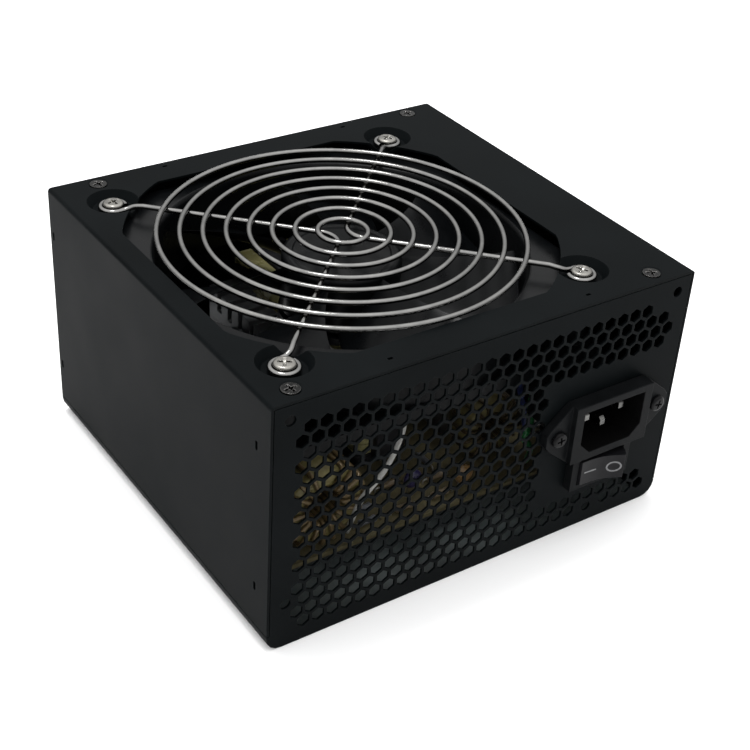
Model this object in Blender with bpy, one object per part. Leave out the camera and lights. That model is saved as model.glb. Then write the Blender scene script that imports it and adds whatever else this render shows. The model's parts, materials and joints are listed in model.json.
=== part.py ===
"""ATX power supply unit: folded steel case, fan with wire guard, mains inlet, rocker switch and main board.

Axes: X right, Y from the inlet panel to the cable panel, Z up to the fan.
The origin is the middle of the case floor. Lengths below are in millimetres; finish() writes metres.
"""

import math

import bmesh
import bpy
from mathutils import Matrix, Vector
from mathutils.geometry import delaunay_2d_cdt

MM = 0.001
GAP = 0.3  # clearance between neighbouring pieces

# Case: ATX standard 150 x 140 x 86, sheet steel
CASE_W, CASE_L, CASE_H, SHEET = 150.0, 140.0, 86.0, 0.8
HALF_W, HALF_L = CASE_W / 2, CASE_L / 2
BASE_BEND = 5.0  # outer radius of the floor-to-side bend
SEAM_Z = 6.0  # lower edge of the cover's sides
INNER_X = HALF_W - SHEET - GAP  # outer side of the panels nested in the cover
PANEL_TOP = CASE_H - SHEET - GAP
FLANGE_DEPTH, FLANGE_HOLE_R = 8.3, 2.2  # inward flanges of the end panels, which take the cover screws
FLOOR_LIP_Z = 14.0  # upper edge of the floor's upturned sides
BOSS_FOOT_R, BOSS_R, BOSS_BORE_R, BOSS_BORE_LOW = 5.2, 3.2, 1.5, 2.0
MOUNT_HOLES = ((-69.0, 80.0), (69.0, 80.0), (-69.0, 16.0), (45.0, 6.0))
MOUNT_HOLE_R = 1.8

# Honeycomb vent of the inlet panel
VENT_PITCH, VENT_ROW = 5.0, 4.33
VENT_FLATS = 4.1
VENT_TOP_Z, VENT_ROWS = 76.3, 17
VENT_X_ODD, VENT_X_EVEN = -65.1, -62.6
VENT_COUNTS = (25, 27, 27, 27) + (17, 18) * 5 + (17, 27, 27)
VENT_SKIPPED = ((16, 21), (16, 22))  # (row, place) taken by the low mounting hole

# Cable hole of the other end panel
CABLE_X, CABLE_Z, CABLE_R = -50.0, 22.0, 11.0

# Fan, its opening in the cover and the sunk corner pads
FAN_X, FAN_Y = -8.0, 0.0
FAN_SIZE, FAN_DEPTH, FAN_PITCH = 120.0, 25.0, 52.5
OPENING_R, OPENING_HALF_X, OPENING_HALF_Y = 67.5, 59.3, 58.3
PAD_DEPTH, PAD_R_TOP, PAD_R, PAD_SIDES = 3.2, 8.3, 6.8, 14
PAD_HOLE_R, FAN_HOLE_R = 2.4, 2.2
PAD_TOP = CASE_H - PAD_DEPTH
FAN_TOP = PAD_TOP - SHEET - GAP
FAN_BOTTOM = FAN_TOP - FAN_DEPTH
DUCT_R, DUCT_WALL, FAN_FLANGE = 57.6, 1.9, 4.0
HUB_R, HUB_WALL = 19.0, 1.4
HUB_LOW, HUB_TOP = FAN_BOTTOM + 4.6, FAN_TOP - 1.4
SEAT_R, SEAT_LOW, SEAT_TOP = HUB_R + 0.6, FAN_BOTTOM + 0.2, FAN_BOTTOM + 3.2  # motor seat under the hub
ARMS, ARM_HALF_W, ARM_TURN = 4, 1.9, 22.0
ARM_LOW, ARM_TOP = FAN_BOTTOM + 0.4, FAN_BOTTOM + 2.8
BLADES, BLADE_TIP_R, BLADE_THICK, BLADE_ROOT_R = 7, 56.2, 1.3, HUB_R - 0.7
BLADE_LOW, BLADE_TOP = HUB_LOW + 0.6, HUB_TOP - 1.6
BLADE_SWEEP, BLADE_WIDTH, BLADE_TAPER, BLADE_BOW = math.radians(12), math.radians(43), math.radians(8), 1.6
SHAFT_R, BEARING_R, BEARING_PLAY = 1.5, 3.6, 0.12
STATOR_R, CORE_R, MAGNET_T = 4.0, 11.0, 1.8

# Wire guard
RINGS, RING_FIRST_R, RING_STEP = 8, 7.8, 7.05
RING_SIDES = (10, 12, 16, 16, 20, 20, 24, 24)
WIRE_R, RING_Z, SPOKE_Z = 0.95, 87.0, 85.5
LOOP_Z, LOOP_R, ELBOW_R = PAD_TOP + 0.2 + WIRE_R, 4.0, 7.0
WIRE_SIDES = 5

# Cover, its screws and small punched marks, (x, y) on the top and (y, z) on the sides
COVER_BEND = 1.3
COVER_SINK = ((2.3, -2.0), (2.3, -0.9), (3.6, 0.05), (3.6, 2.0))  # screw hole: (radius, height over the top)
COVER_SCREWS = ((-65.8, -64.3), (61.9, -64.5), (-59.4, 65.7), (62.6, 66.1))
TOP_MARKS = ((-34.8, -65.3), (36.0, -65.3), (-34.7, 67.2), (35.0, 66.6))
SIDE_MARKS = ((-62.8, 69.7), (-62.8, 20.3), (67.6, 69.7), (67.6, 20.3))
TOP_MARK_SIZE, SIDE_MARK_SIZE = (1.8, 1.0), (1.2, 3.0)

# Screw heads: outlines of (radius, height above the seat)
GUARD_HEAD = ((3.5, 0.0), (3.5, 0.7), (2.3, 1.6))
SMALL_PAN_HEAD = ((2.7, 0.0), (2.7, 0.7), (1.7, 1.5))
FLAT_HEAD = ((1.3, -1.3), (3.05, 0.0), (2.9, 0.12))

# Mains inlet: distances outward from the panel face are called "out"
INLET_X, INLET_Z, INLET_PITCH = 45.0, 42.2, 20.0
INLET_FLANGE_OUT, INLET_BLOCK_OUT = 3.2, 5.3
INLET_BLOCK_W, INLET_BLOCK_H, INLET_TIP = 31.0, 20.8, 24.6
INLET_CUT_W, INLET_CUT_H, INLET_CUT_CORNER = 28.0, 19.8, 3.4
INLET_HOLE_R, FLANGE_SCREW_R = 1.7, 1.8
MOUTH_W, MOUTH_H, MOUTH_CUT, MOUTH_DEPTH = 24.2, 15.6, 3.9, 16.4
BODY_W, BODY_H, BODY_IN, BODY_CUT = 27.4, 19.0, 19.0, 3.4
PIN_W, PIN_H, PIN_TIP_IN, PIN_BACK = 2.0, 4.0, 4.2, 26.5
PINS = {"live": (7.0, 2.0), "neutral": (-7.0, 2.0), "earth": (0.0, -2.0)}

# Rocker switch
SWITCH_X, SWITCH_Z = 45.0, 24.8
BEZEL_W, BEZEL_H, BEZEL_OUT = 23.6, 12.6, 3.2
WELL_W, WELL_H, WELL_IN = 18.4, 9.4, 4.8
SWITCH_W, SWITCH_H, SWITCH_IN = 20.2, 10.8, 13.0
TERMINAL_DX, TERMINAL_W, TERMINAL_T, TERMINAL_LOW, TERMINAL_END = 5.0, 4.8, 0.8, 8.0, 21.0
ROCKER_HALF_H, ROCKER_R, ROCKER_PIVOT_OUT = 4.4, 8.9, 1.2
ROCKER_FACE = ((-7.6, 4.6), (-4.8, 3.95), (-2.1, 3.5), (0, 3.35), (2.1, 3.5), (4.8, 3.95), (7.6, 4.6))
ROCKER_FOOT = (3.0, -3.3)
AXLE_R, AXLE_PLAY = 1.15, 0.35
ROCKER_TILT = math.radians(13.5)  # each way from level; at rest the left end is pressed in

# Main board, its insulating sheet and its parts: places are (x, y) on the board
BOARD_W, BOARD_Y0, BOARD_Y1, BOARD_Z, BOARD_T = 140.0, -50.0, 62.0, 7.3, 1.6
BOARD_TOP = BOARD_Z + BOARD_T + GAP
BOARD_SCREWS = ((-63.0, -45.0), (63.0, -45.0), (-63.0, 56.0), (63.0, 56.0))
BOARD_HOLE_R, SHEET_HOLE_R = 1.7, 5.7
SHEET_W, SHEET_L, SHEET_LOW, SHEET_THICK = 139.6, 134.0, SHEET + 0.3, 0.3
SINK_T, SINK_FIN, SINK_TOP, SINK_FLANGE_T = 3.0, 11.0, 51.5, 2.4
SINK_FIN_ZS, SINK_FIN_T = (26.0, 32.5, 39.0), 1.4
COMB_LOW, COMB_PITCH, COMB_GAP = 44.5, 7.0, 2.4
PACKAGE_T, PACKAGE_W, PACKAGE_LOW, PACKAGE_TOP = 4.4, 15.6, 24.0, 43.0
TRANSISTORS = ((29.6, -6.0), (29.6, 14.0))
RECTIFIERS = ((-33.6, -12.0), (-33.6, 22.0))
BULK_CANS, BULK_R, BULK_H = ((50.0, 8.0), (50.0, 36.0)), 12.5, 40.0
OUTPUT_CANS, OUTPUT_R, OUTPUT_H = ((-48.0, 4.0), (-61.0, 8.0), (-48.0, 38.0), (-61.0, 34.0)), 5.2, 24.0
FUSE_AT, FUSE_R, FUSE_HALF_L = (54.0, -30.0), 3.0, 10.0
LEAD_R, FAN_LEAD_R = 1.15, 0.95


# ---------------------------------------------------------------- helpers


def clear_scene():
    for obj in list(bpy.data.objects):
        bpy.data.objects.remove(obj, do_unlink=True)


def make_material(name, colour, metallic=0.0, roughness=0.5):
    mat = bpy.data.materials.new(name)
    mat.use_nodes = True
    shader = mat.node_tree.nodes["Principled BSDF"]
    shader.inputs["Base Color"].default_value = (*colour, 1)
    shader.inputs["Metallic"].default_value = metallic
    shader.inputs["Roughness"].default_value = roughness
    mat.diffuse_color = (*colour, 1)
    return mat


def new_mesh(points, faces):
    """A bmesh from points in millimetres, with its normals turned outward."""
    bm = bmesh.new()
    verts = [bm.verts.new(p) for p in points]
    for face in faces:
        bm.faces.new([verts[i] for i in face])
    bmesh.ops.recalc_face_normals(bm, faces=bm.faces)
    return bm


def box(x0, x1, y0, y1, z0, z1):
    corners = [(x, y, z) for x in (x0, x1) for y in (y0, y1) for z in (z0, z1)]
    faces = [(0, 1, 3, 2), (4, 6, 7, 5), (0, 4, 5, 1), (2, 3, 7, 6), (0, 2, 6, 4), (1, 5, 7, 3)]
    return new_mesh(corners, faces)


def circle(cx, cy, r, sides, turn=0.0):
    angles = [turn + 2 * math.pi * k / sides for k in range(sides)]
    return [(cx + r * math.cos(a), cy + r * math.sin(a)) for a in angles]


def rectangle(cx, cy, w, h):
    return [(cx + sx * w / 2, cy + sy * h / 2) for sx, sy in ((-1, -1), (1, -1), (1, 1), (-1, 1))]


def arc(cx, cy, r, start, end, steps):
    """Points along an arc, from start to end in degrees, with both ends."""
    turns = [math.radians(start + (end - start) * k / steps) for k in range(steps + 1)]
    return [(cx + r * math.cos(a), cy + r * math.sin(a)) for a in turns]


def round_rectangle(cx, cy, w, h, r):
    outline = []
    for sx, sy, start in ((1, 1, 0), (-1, 1, 90), (-1, -1, 180), (1, -1, 270)):
        outline += arc(cx + sx * (w / 2 - r), cy + sy * (h / 2 - r), r, start, start + 90, 2)
    return outline


def place(axis, a, b, level):
    """A point of the plane that is square to the axis, at that level."""
    return {"X": (level, a, b), "Y": (a, level, b), "Z": (a, b, level)}[axis]


def plate(outline, holes, axis, low, high):
    """A flat sheet with convex holes, cut from the plane that is square to the axis."""
    loops = [outline, *holes]
    points, owner, edges = [], [], []
    for number, loop in enumerate(loops):
        first = len(points)
        points += [Vector(p) for p in loop]
        owner += [number] * len(loop)
        edges += [(first + k, first + (k + 1) % len(loop)) for k in range(len(loop))]
    flat, _, triangles, origin, *_ = delaunay_2d_cdt(points, edges, [], 1, 1e-6)
    assert len(flat) == len(points)
    owner = [owner[source[0]] for source in origin]
    kept = [t for t in triangles if len({owner[i] for i in t}) > 1 or owner[t[0]] == 0]
    count = len(flat)
    solid = [place(axis, *p, level) for level in (low, high) for p in flat]
    faces = [tuple(t) for t in kept] + [tuple(i + count for i in reversed(t)) for t in kept]
    seen = {}
    for tri in kept:
        for a, b in zip(tri, (*tri[1:], tri[0])):
            seen[frozenset((a, b))] = None if frozenset((a, b)) in seen else (a, b)
    faces += [(b, a, a + count, b + count) for a, b in filter(None, seen.values())]
    return new_mesh(solid, faces)


def prism(outline, axis, low, high):
    count = len(outline)
    points = [place(axis, *p, level) for level in (low, high) for p in outline]
    faces = [tuple(range(count)), tuple(reversed(range(count, 2 * count)))]
    faces += [(k, (k + 1) % count, (k + 1) % count + count, k + count) for k in range(count)]
    return new_mesh(points, faces)


def lathe(profile, sides, at=(0, 0, 0), axis="Z", turn=0.0):
    """A closed (radius, height) outline turned round an axis. A radius of 0 is one shared point."""
    points, rings = [], []
    for r, h in profile:
        ring = []
        for k in range(sides if r > 0 else 1):
            a = turn + 2 * math.pi * k / sides
            ring.append(len(points))
            points.append((r * math.cos(a), r * math.sin(a), h))
        rings.append(ring)
    faces = []
    for one, two in zip(rings, rings[1:] + rings[:1]):
        for k in range(sides):
            a, b = one[k % len(one)], one[(k + 1) % len(one)]
            c, d = two[(k + 1) % len(two)], two[k % len(two)]
            corners = list(dict.fromkeys((a, b, c, d)))
            if len(corners) > 2:
                faces.append(corners)
    bm = new_mesh(points, faces)
    if axis == "Y":  # height then runs outward, along -Y
        bm.transform(Matrix.Rotation(math.pi / 2, 4, "X"))
    bm.transform(Matrix.Translation(at))
    return bm


def cylinder(r, low, high, sides, at=(0, 0, 0), axis="Z", turn=0.0):
    return lathe([(0, low), (r, low), (r, high), (0, high)], sides, at, axis, turn)


def tube(path, r, sides, closed=False):
    """A wire of round section along a path. One corner of the section points up where the path is level."""
    path = [Vector(p) for p in path]
    count = len(path)
    points, up = [], Vector((0, 0, 1))
    for k, here in enumerate(path):
        before = path[k - 1] if k or closed else here
        after = path[(k + 1) % count] if k < count - 1 or closed else here
        along = (after - before).normalized()
        if abs(along.dot(up)) > 0.98:
            up = Vector((1, 0, 0))
        side = along.cross(up).normalized()
        top = side.cross(along).normalized()
        if not closed:
            up = top
        stretch = 1.0
        if (before - here).length > 0 and (after - here).length > 0:
            stretch = 1 / max(0.6, math.cos((here - before).angle(after - here) / 2))
        for s in range(sides):
            a = 2 * math.pi * s / sides
            points.append(here + top * (r * math.cos(a)) + side * (r * stretch * math.sin(a)))
    faces = []
    for k in range(count if closed else count - 1):
        one, two = k * sides, (k + 1) % count * sides
        faces += [(one + s, one + (s + 1) % sides, two + (s + 1) % sides, two + s) for s in range(sides)]
    if not closed:
        faces += [tuple(range(sides)), tuple(reversed(range((count - 1) * sides, count * sides)))]
    return new_mesh(points, faces)


def as_object(name, bm):
    mesh = bpy.data.meshes.new(name)
    bm.to_mesh(mesh)
    bm.free()
    obj = bpy.data.objects.new(name, mesh)
    bpy.context.scene.collection.objects.link(obj)
    return obj


def combine(body, others, operation):
    """The body after one exact Boolean with each other solid in turn."""
    target = as_object("work", body)
    for number, other in enumerate(others):
        cutter = as_object(f"cutter_{number}", other)
        cutter.hide_render, cutter.display_type = True, "WIRE"
        modifier = target.modifiers.new("boolean", "BOOLEAN")
        modifier.operation, modifier.solver, modifier.object = operation, "EXACT", cutter
        graph = bpy.context.evaluated_depsgraph_get()
        result = bpy.data.meshes.new_from_object(target.evaluated_get(graph))
        target.modifiers.clear()
        target.data = result
        bpy.data.objects.remove(cutter, do_unlink=True)
    bm = bmesh.new()
    bm.from_mesh(target.data)
    bpy.data.objects.remove(target, do_unlink=True)
    return bm


def cut(body, *others):
    return combine(body, others, "DIFFERENCE")


def join(body, *others):
    return combine(body, others, "UNION")


def finish(name, bm, mat, smooth=False, origin=(0, 0, 0)):
    """Puts a solid into the scene, in metres, with its object origin at the given point."""
    bm.transform(Matrix.Translation(-Vector(origin)))
    bm.transform(Matrix.Scale(MM, 4))
    bmesh.ops.remove_doubles(bm, verts=bm.verts, dist=2e-7)
    bmesh.ops.delete(bm, geom=[edge for edge in bm.edges if not edge.link_faces], context="EDGES")
    bmesh.ops.recalc_face_normals(bm, faces=bm.faces)
    if smooth:
        for face in bm.faces:
            face.smooth = True
        for edge in bm.edges:
            edge.smooth = edge.calc_face_angle(0) < math.radians(35)
    obj = as_object(name, bm)
    obj.location = Vector(origin) * MM
    obj.data.materials.append(mat)
    return obj


# ---------------------------------------------------------------- case


def panel_outline():
    """Outline of an end panel: nested in the cover, full width below the seam, round bottom corners."""
    low, step = BASE_BEND, SEAM_Z - GAP
    right = arc(HALF_W - low, low, low, -90, 0, 4)
    right += [(HALF_W, step), (INNER_X, step), (INNER_X, PANEL_TOP)]
    return right + [(-x, z) for x, z in reversed(right)]


def vent_holes():
    holes = []
    for row in range(VENT_ROWS):
        start = VENT_X_ODD if row % 2 else VENT_X_EVEN
        for spot in range(VENT_COUNTS[row]):
            if (row, spot) not in VENT_SKIPPED:
                x, z = start + spot * VENT_PITCH, VENT_TOP_Z - row * VENT_ROW
                holes.append(circle(x, z, VENT_FLATS / math.sqrt(3), 6, math.pi / 6))
    return holes


def cut_corners(cx, cz, w, h, size):
    """A rectangle without its two lower corners, as round the pins of an IEC inlet."""
    x, z = w / 2, h / 2
    outline = [(-x + size, -z), (x - size, -z), (x, -z + size), (x, z), (-x, z), (-x, -z + size)]
    return [(cx + a, cz + b) for a, b in outline]


def inlet_panel():
    holes = [circle(x, z, MOUNT_HOLE_R, 12) for x, z in MOUNT_HOLES]
    holes += [circle(INLET_X + side * INLET_PITCH, INLET_Z, INLET_HOLE_R, 8) for side in (-1, 1)]
    holes.append(cut_corners(INLET_X, INLET_Z, INLET_CUT_W, INLET_CUT_H, INLET_CUT_CORNER))
    holes.append(rectangle(SWITCH_X, SWITCH_Z, SWITCH_W + 2 * GAP, SWITCH_H + 2 * GAP))
    return plate(panel_outline(), vent_holes() + holes, "Y", -HALF_L, -HALF_L + SHEET)


def chassis_floor():
    """The floor with its round bends, the step under the cover's edge and the low sides inside the cover."""
    inside_x, middle_x = INNER_X - SHEET, HALF_W - BASE_BEND
    meet_z = BASE_BEND - math.sqrt((BASE_BEND - SHEET) ** 2 - (inside_x - middle_x) ** 2)
    half = arc(middle_x, BASE_BEND, BASE_BEND, -90, 0, 4)
    half += [(HALF_W, SEAM_Z - GAP), (INNER_X, SEAM_Z - GAP), (INNER_X, FLOOR_LIP_Z), (inside_x, FLOOR_LIP_Z)]
    half += [(inside_x, meet_z), (middle_x, SHEET)]
    return prism(half + [(-x, z) for x, z in reversed(half)], "Y", -HALF_L + GAP, HALF_L - GAP)


def panel_flanges(side):
    """The top flange and the two upright flanges of one end panel. The side is -1 for the inlet panel."""
    y0, y1 = sorted((side * (HALF_L - GAP), side * (HALF_L - FLANGE_DEPTH)))
    holes = [circle(x, y, FLANGE_HOLE_R, 8) for x, y in COVER_SCREWS if y * side > 0]
    top = rectangle(0, (y0 + y1) / 2, 2 * (INNER_X - 1.5), y1 - y0)
    pieces = [plate(top, holes, "Z", PANEL_TOP - SHEET, PANEL_TOP)]
    for hand in (-1, 1):
        x0, x1 = sorted((hand * INNER_X, hand * (INNER_X - SHEET)))
        pieces.append(box(x0, x1, y0, y1, FLOOR_LIP_Z - 0.5, PANEL_TOP - 4))
    return pieces


def base_chassis(mat):
    cable_hole = circle(CABLE_X, CABLE_Z, CABLE_R + 0.1, 20)
    pieces = [plate(panel_outline(), [cable_hole], "Y", HALF_L - SHEET, HALF_L)]
    pieces += panel_flanges(-1) + panel_flanges(1)
    top = BOARD_Z - GAP
    boss = [(0, SHEET / 2), (BOSS_FOOT_R, SHEET / 2), (BOSS_R, top), (BOSS_BORE_R, top),
            (BOSS_BORE_R, BOSS_BORE_LOW), (0, BOSS_BORE_LOW)]
    pieces += [lathe(boss, 8, (x, y, 0)) for x, y in BOARD_SCREWS]
    return finish("base_chassis", join(chassis_floor(), inlet_panel(), *pieces), mat)


def same_flat(one, two):
    """True where two rim points lie on the same straight side of the fan opening."""
    return any(abs(one[k] - two[k]) < 1e-6 and abs(abs(one[k] - (FAN_X, FAN_Y)[k]) - half) < 1e-6
               for k, half in enumerate((OPENING_HALF_X, OPENING_HALF_Y)))


def cover_sheet():
    bend, low = COVER_BEND, SEAM_Z
    outer = [(HALF_W, low)] + arc(HALF_W - bend, CASE_H - bend, bend, 0, 90, 3)
    inner = [(HALF_W - SHEET, low)] + arc(HALF_W - bend, CASE_H - bend, bend - SHEET, 0, 90, 1)
    half = outer + [(-x, z) for x, z in reversed(outer)]
    section = half + [(-x, z) for x, z in inner] + list(reversed(inner))
    return prism(section, "Y", -HALF_L, HALF_L)


def fan_opening(pads):
    """Cutter of the fan opening: a circle with four flats, less the round corner pads."""
    rim = circle(FAN_X, FAN_Y, OPENING_R, 40, math.pi / 40)
    rim = [(FAN_X + max(-OPENING_HALF_X, min(OPENING_HALF_X, x - FAN_X)),
            FAN_Y + max(-OPENING_HALF_Y, min(OPENING_HALF_Y, y - FAN_Y))) for x, y in rim]
    count = len(rim)
    rim = [p for k, p in enumerate(rim)
           if not (same_flat(rim[k - 1], p) and same_flat(p, rim[(k + 1) % count]))]
    kept = [cylinder(PAD_R - 0.7, CASE_H - 9, CASE_H + 5, PAD_SIDES, (x, y, 0)) for x, y in pads]
    return cut(prism(rim, "Z", CASE_H - 8, CASE_H + 4), *kept)


def top_cover(mat):
    cover = cover_sheet()
    pads = [(FAN_X + sx * FAN_PITCH, FAN_Y + sy * FAN_PITCH) for sx in (-1, 1) for sy in (-1, 1)]
    dish = [(0, PAD_TOP - SHEET), (PAD_R, PAD_TOP - SHEET), (PAD_R_TOP + 0.6, CASE_H - SHEET),
            (PAD_R_TOP + 0.6, CASE_H), (PAD_R_TOP - 0.2, CASE_H), (PAD_R - 0.5, PAD_TOP), (0, PAD_TOP)]
    for x, y in pads:
        well = cylinder(PAD_R_TOP, CASE_H - 2, CASE_H + 1, PAD_SIDES, (x, y, 0))
        cover = join(cut(cover, well), lathe(dish, PAD_SIDES, (x, y, 0)))
    cover = cut(cover, fan_opening(pads))
    holes = [cylinder(PAD_HOLE_R, CASE_H - 8, CASE_H + 2, 10, (x, y, 0)) for x, y in pads]
    sink = [(0, COVER_SINK[0][1]), *COVER_SINK, (0, COVER_SINK[-1][1])]
    holes += [lathe(sink, 8, (x, y, CASE_H)) for x, y in COVER_SCREWS]
    for x, y in TOP_MARKS:
        holes.append(prism(rectangle(x, y, *TOP_MARK_SIZE), "Z", CASE_H - 2, CASE_H + 2))
    for y, z in SIDE_MARKS:
        holes.append(prism(rectangle(y, z, *SIDE_MARK_SIZE), "X", -HALF_W - 2, HALF_W + 2))
    return finish("top_cover", cut(cover, *holes), mat)


def screw(name, at, mat, head, shank_r, length, axis="Z", sides=8):
    """A screw whose seat is at the given point. The head is an outline of (radius, height over the seat)."""
    profile = [(0, -length), (shank_r, -length), (shank_r, head[0][1]), *head, (0, head[-1][1])]
    return finish(name, lathe(profile, sides, at, axis), mat, smooth=True)


# ---------------------------------------------------------------- fan


def fan_frame(mat):
    at = (FAN_X, FAN_Y, 0)
    outline = round_rectangle(FAN_X, FAN_Y, FAN_SIZE, FAN_SIZE, 5.0)
    holes = [circle(FAN_X + sx * FAN_PITCH, FAN_Y + sy * FAN_PITCH, FAN_HOLE_R, 8)
             for sx in (-1, 1) for sy in (-1, 1)]
    duct = circle(FAN_X, FAN_Y, DUCT_R, 32)
    top = plate(outline, [duct, *holes], "Z", FAN_TOP - FAN_FLANGE, FAN_TOP)
    low = plate(outline, [duct, *holes], "Z", FAN_BOTTOM, FAN_BOTTOM + FAN_FLANGE)
    wall = lathe([(DUCT_R, FAN_BOTTOM + 1), (DUCT_R + DUCT_WALL, FAN_BOTTOM + 1),
                  (DUCT_R + DUCT_WALL, FAN_TOP - 1), (DUCT_R, FAN_TOP - 1)], 32, at)
    seat = cylinder(SEAT_R, SEAT_LOW, SEAT_TOP, 24, at)
    arms = []
    for k in range(ARMS):
        arm = box(HUB_R - 2, DUCT_R + 0.9, -ARM_HALF_W, ARM_HALF_W, ARM_LOW, ARM_TOP)
        turn = math.radians(ARM_TURN) + 2 * math.pi * k / ARMS
        arm.transform(Matrix.Translation(at) @ Matrix.Rotation(turn, 4, "Z"))
        arms.append(arm)
    return finish("fan_frame", join(top, wall, low, seat, *arms), mat, smooth=True)


def blade(number):
    """One swept, twisted blade, rooted inside the hub wall."""
    rows, columns = 5, 3
    front, back = [], []
    for k in range(rows):
        t = k / (rows - 1)
        r = BLADE_ROOT_R + (BLADE_TIP_R - BLADE_ROOT_R) * t
        sweep, width = BLADE_SWEEP * t**1.4, BLADE_WIDTH - BLADE_TAPER * t
        rise = (BLADE_TOP - BLADE_LOW) * (1 - 0.18 * t)
        tilt = math.atan2(rise, width * r)
        for c in range(columns):
            s = c / (columns - 1)
            a = sweep + (s - 0.5) * width
            z = BLADE_LOW + 1.2 * t + rise * s - BLADE_BOW * math.sin(math.pi * s)
            for side, store in ((0.5, front), (-0.5, back)):
                slip = side * BLADE_THICK * math.sin(tilt) / r
                height = z + side * BLADE_THICK * math.cos(tilt)
                store.append((r * math.cos(a - slip), r * math.sin(a - slip), height))
    count = rows * columns
    grid = [(k * columns + c, k * columns + c + 1, (k + 1) * columns + c + 1, (k + 1) * columns + c)
            for k in range(rows - 1) for c in range(columns - 1)]
    edge = [k * columns for k in range(rows)] + [count - columns + c for c in range(1, columns)]
    edge += [k * columns + columns - 1 for k in reversed(range(rows - 1))] + list(range(columns - 2, 0, -1))
    faces = grid + [tuple(count + i for i in reversed(face)) for face in grid]
    faces += [(a, b, b + count, a + count) for a, b in zip(edge, edge[1:] + edge[:1])]
    faces = [half for f in faces for half in ((f[0], f[1], f[2]), (f[0], f[2], f[3]))]
    bm = new_mesh(front + back, faces)
    turn = Matrix.Rotation(2 * math.pi * number / BLADES, 4, "Z")
    bm.transform(Matrix.Translation((FAN_X, FAN_Y, 0)) @ turn)
    return bm


def fan_rotor(mat):
    inside = HUB_R - HUB_WALL
    hub = lathe([(0, HUB_TOP), (HUB_R - 1.5, HUB_TOP), (HUB_R, HUB_TOP - 1.5), (HUB_R, HUB_LOW),
                 (inside, HUB_LOW), (inside, HUB_TOP - HUB_WALL), (0, HUB_TOP - HUB_WALL)],
                28, (FAN_X, FAN_Y, 0))
    blades = [blade(k) for k in range(BLADES)]
    middle = (FAN_X, FAN_Y, FAN_BOTTOM + FAN_DEPTH / 2)
    return finish("fan_rotor", join(hub, *blades), mat, True, middle)


def ring(inner_r, outer_r, low, high, sides, at):
    return lathe([(inner_r, low), (outer_r, low), (outer_r, high), (inner_r, high)], sides, at)


def fan_motor(mats):
    at = (FAN_X, FAN_Y, 0)
    middle = (FAN_X, FAN_Y, FAN_BOTTOM + FAN_DEPTH / 2)
    low, roof = SEAT_TOP + GAP, HUB_TOP - HUB_WALL - GAP
    magnet_r = HUB_R - HUB_WALL - GAP
    pole_r = magnet_r - MAGNET_T - 0.6
    magnet = ring(magnet_r - MAGNET_T, magnet_r, HUB_LOW + 1, roof, 24, at)
    finish("fan_magnet_ring", magnet, mats["magnet"], True, middle)
    finish("fan_shaft", cylinder(SHAFT_R, low + 1, roof, 12, at), mats["steel"], True, middle)
    bearing = ring(SHAFT_R + BEARING_PLAY, BEARING_R, low, roof - 2.5, 12, at)
    finish("fan_bearing", bearing, mats["brass"], True)
    stator = lathe([(STATOR_R, low + 2.4), (CORE_R, low + 2.4), (pole_r, low + 5), (pole_r, roof - 5),
                    (CORE_R, roof - 3), (STATOR_R, roof - 3)], 16, at)
    finish("fan_stator", stator, mats["copper"], True)
    finish("fan_circuit_board", ring(STATOR_R, pole_r, low, low + 1.4, 16, at), mats["board"])


# ---------------------------------------------------------------- wire guard


def guard_spoke(hand):
    """One bent wire: loop, leg, elbow near the middle, leg, loop. The hand is -1 for the left one."""
    reach = FAN_PITCH * math.sqrt(2)
    half = [(x, y, LOOP_Z) for x, y in arc(0, 0, LOOP_R, -150, 150, 10)]  # open on the side of the leg
    half += [(-LOOP_R - 0.8, 0.9, LOOP_Z + 0.2), (-LOOP_R - 2.8, 0.0, LOOP_Z + 1.0)]
    half.append((-LOOP_R - 6.0, 0.0, SPOKE_Z))
    c = math.sqrt(0.5)
    # Seen from the loop's middle the leg runs along -X; it is moved out and turned by 135 degrees.
    path = [(-c * (x + reach + y), c * (x + reach - y), z) for x, y, z in half]
    elbow = [(x, y, SPOKE_Z) for x, y in arc(-ELBOW_R * math.sqrt(2), 0, ELBOW_R, 45, -45, 5)]
    path += elbow + [(x, -y, z) for x, y, z in reversed(path)]
    return tube([(FAN_X - hand * x, FAN_Y + y, z) for x, y, z in path], WIRE_R, WIRE_SIDES)


def guard_ring(number):
    sides = RING_SIDES[number]
    outline = circle(FAN_X, FAN_Y, RING_FIRST_R + RING_STEP * number, sides, math.pi / sides)
    return tube([(x, y, RING_Z) for x, y in outline], WIRE_R, WIRE_SIDES, closed=True)


def fan_guard(mat):
    first, *others = [guard_ring(k) for k in range(RINGS)]
    return finish("fan_guard", join(first, guard_spoke(-1), guard_spoke(1), *others), mat, smooth=True)


# ---------------------------------------------------------------- mains inlet and switch


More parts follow.
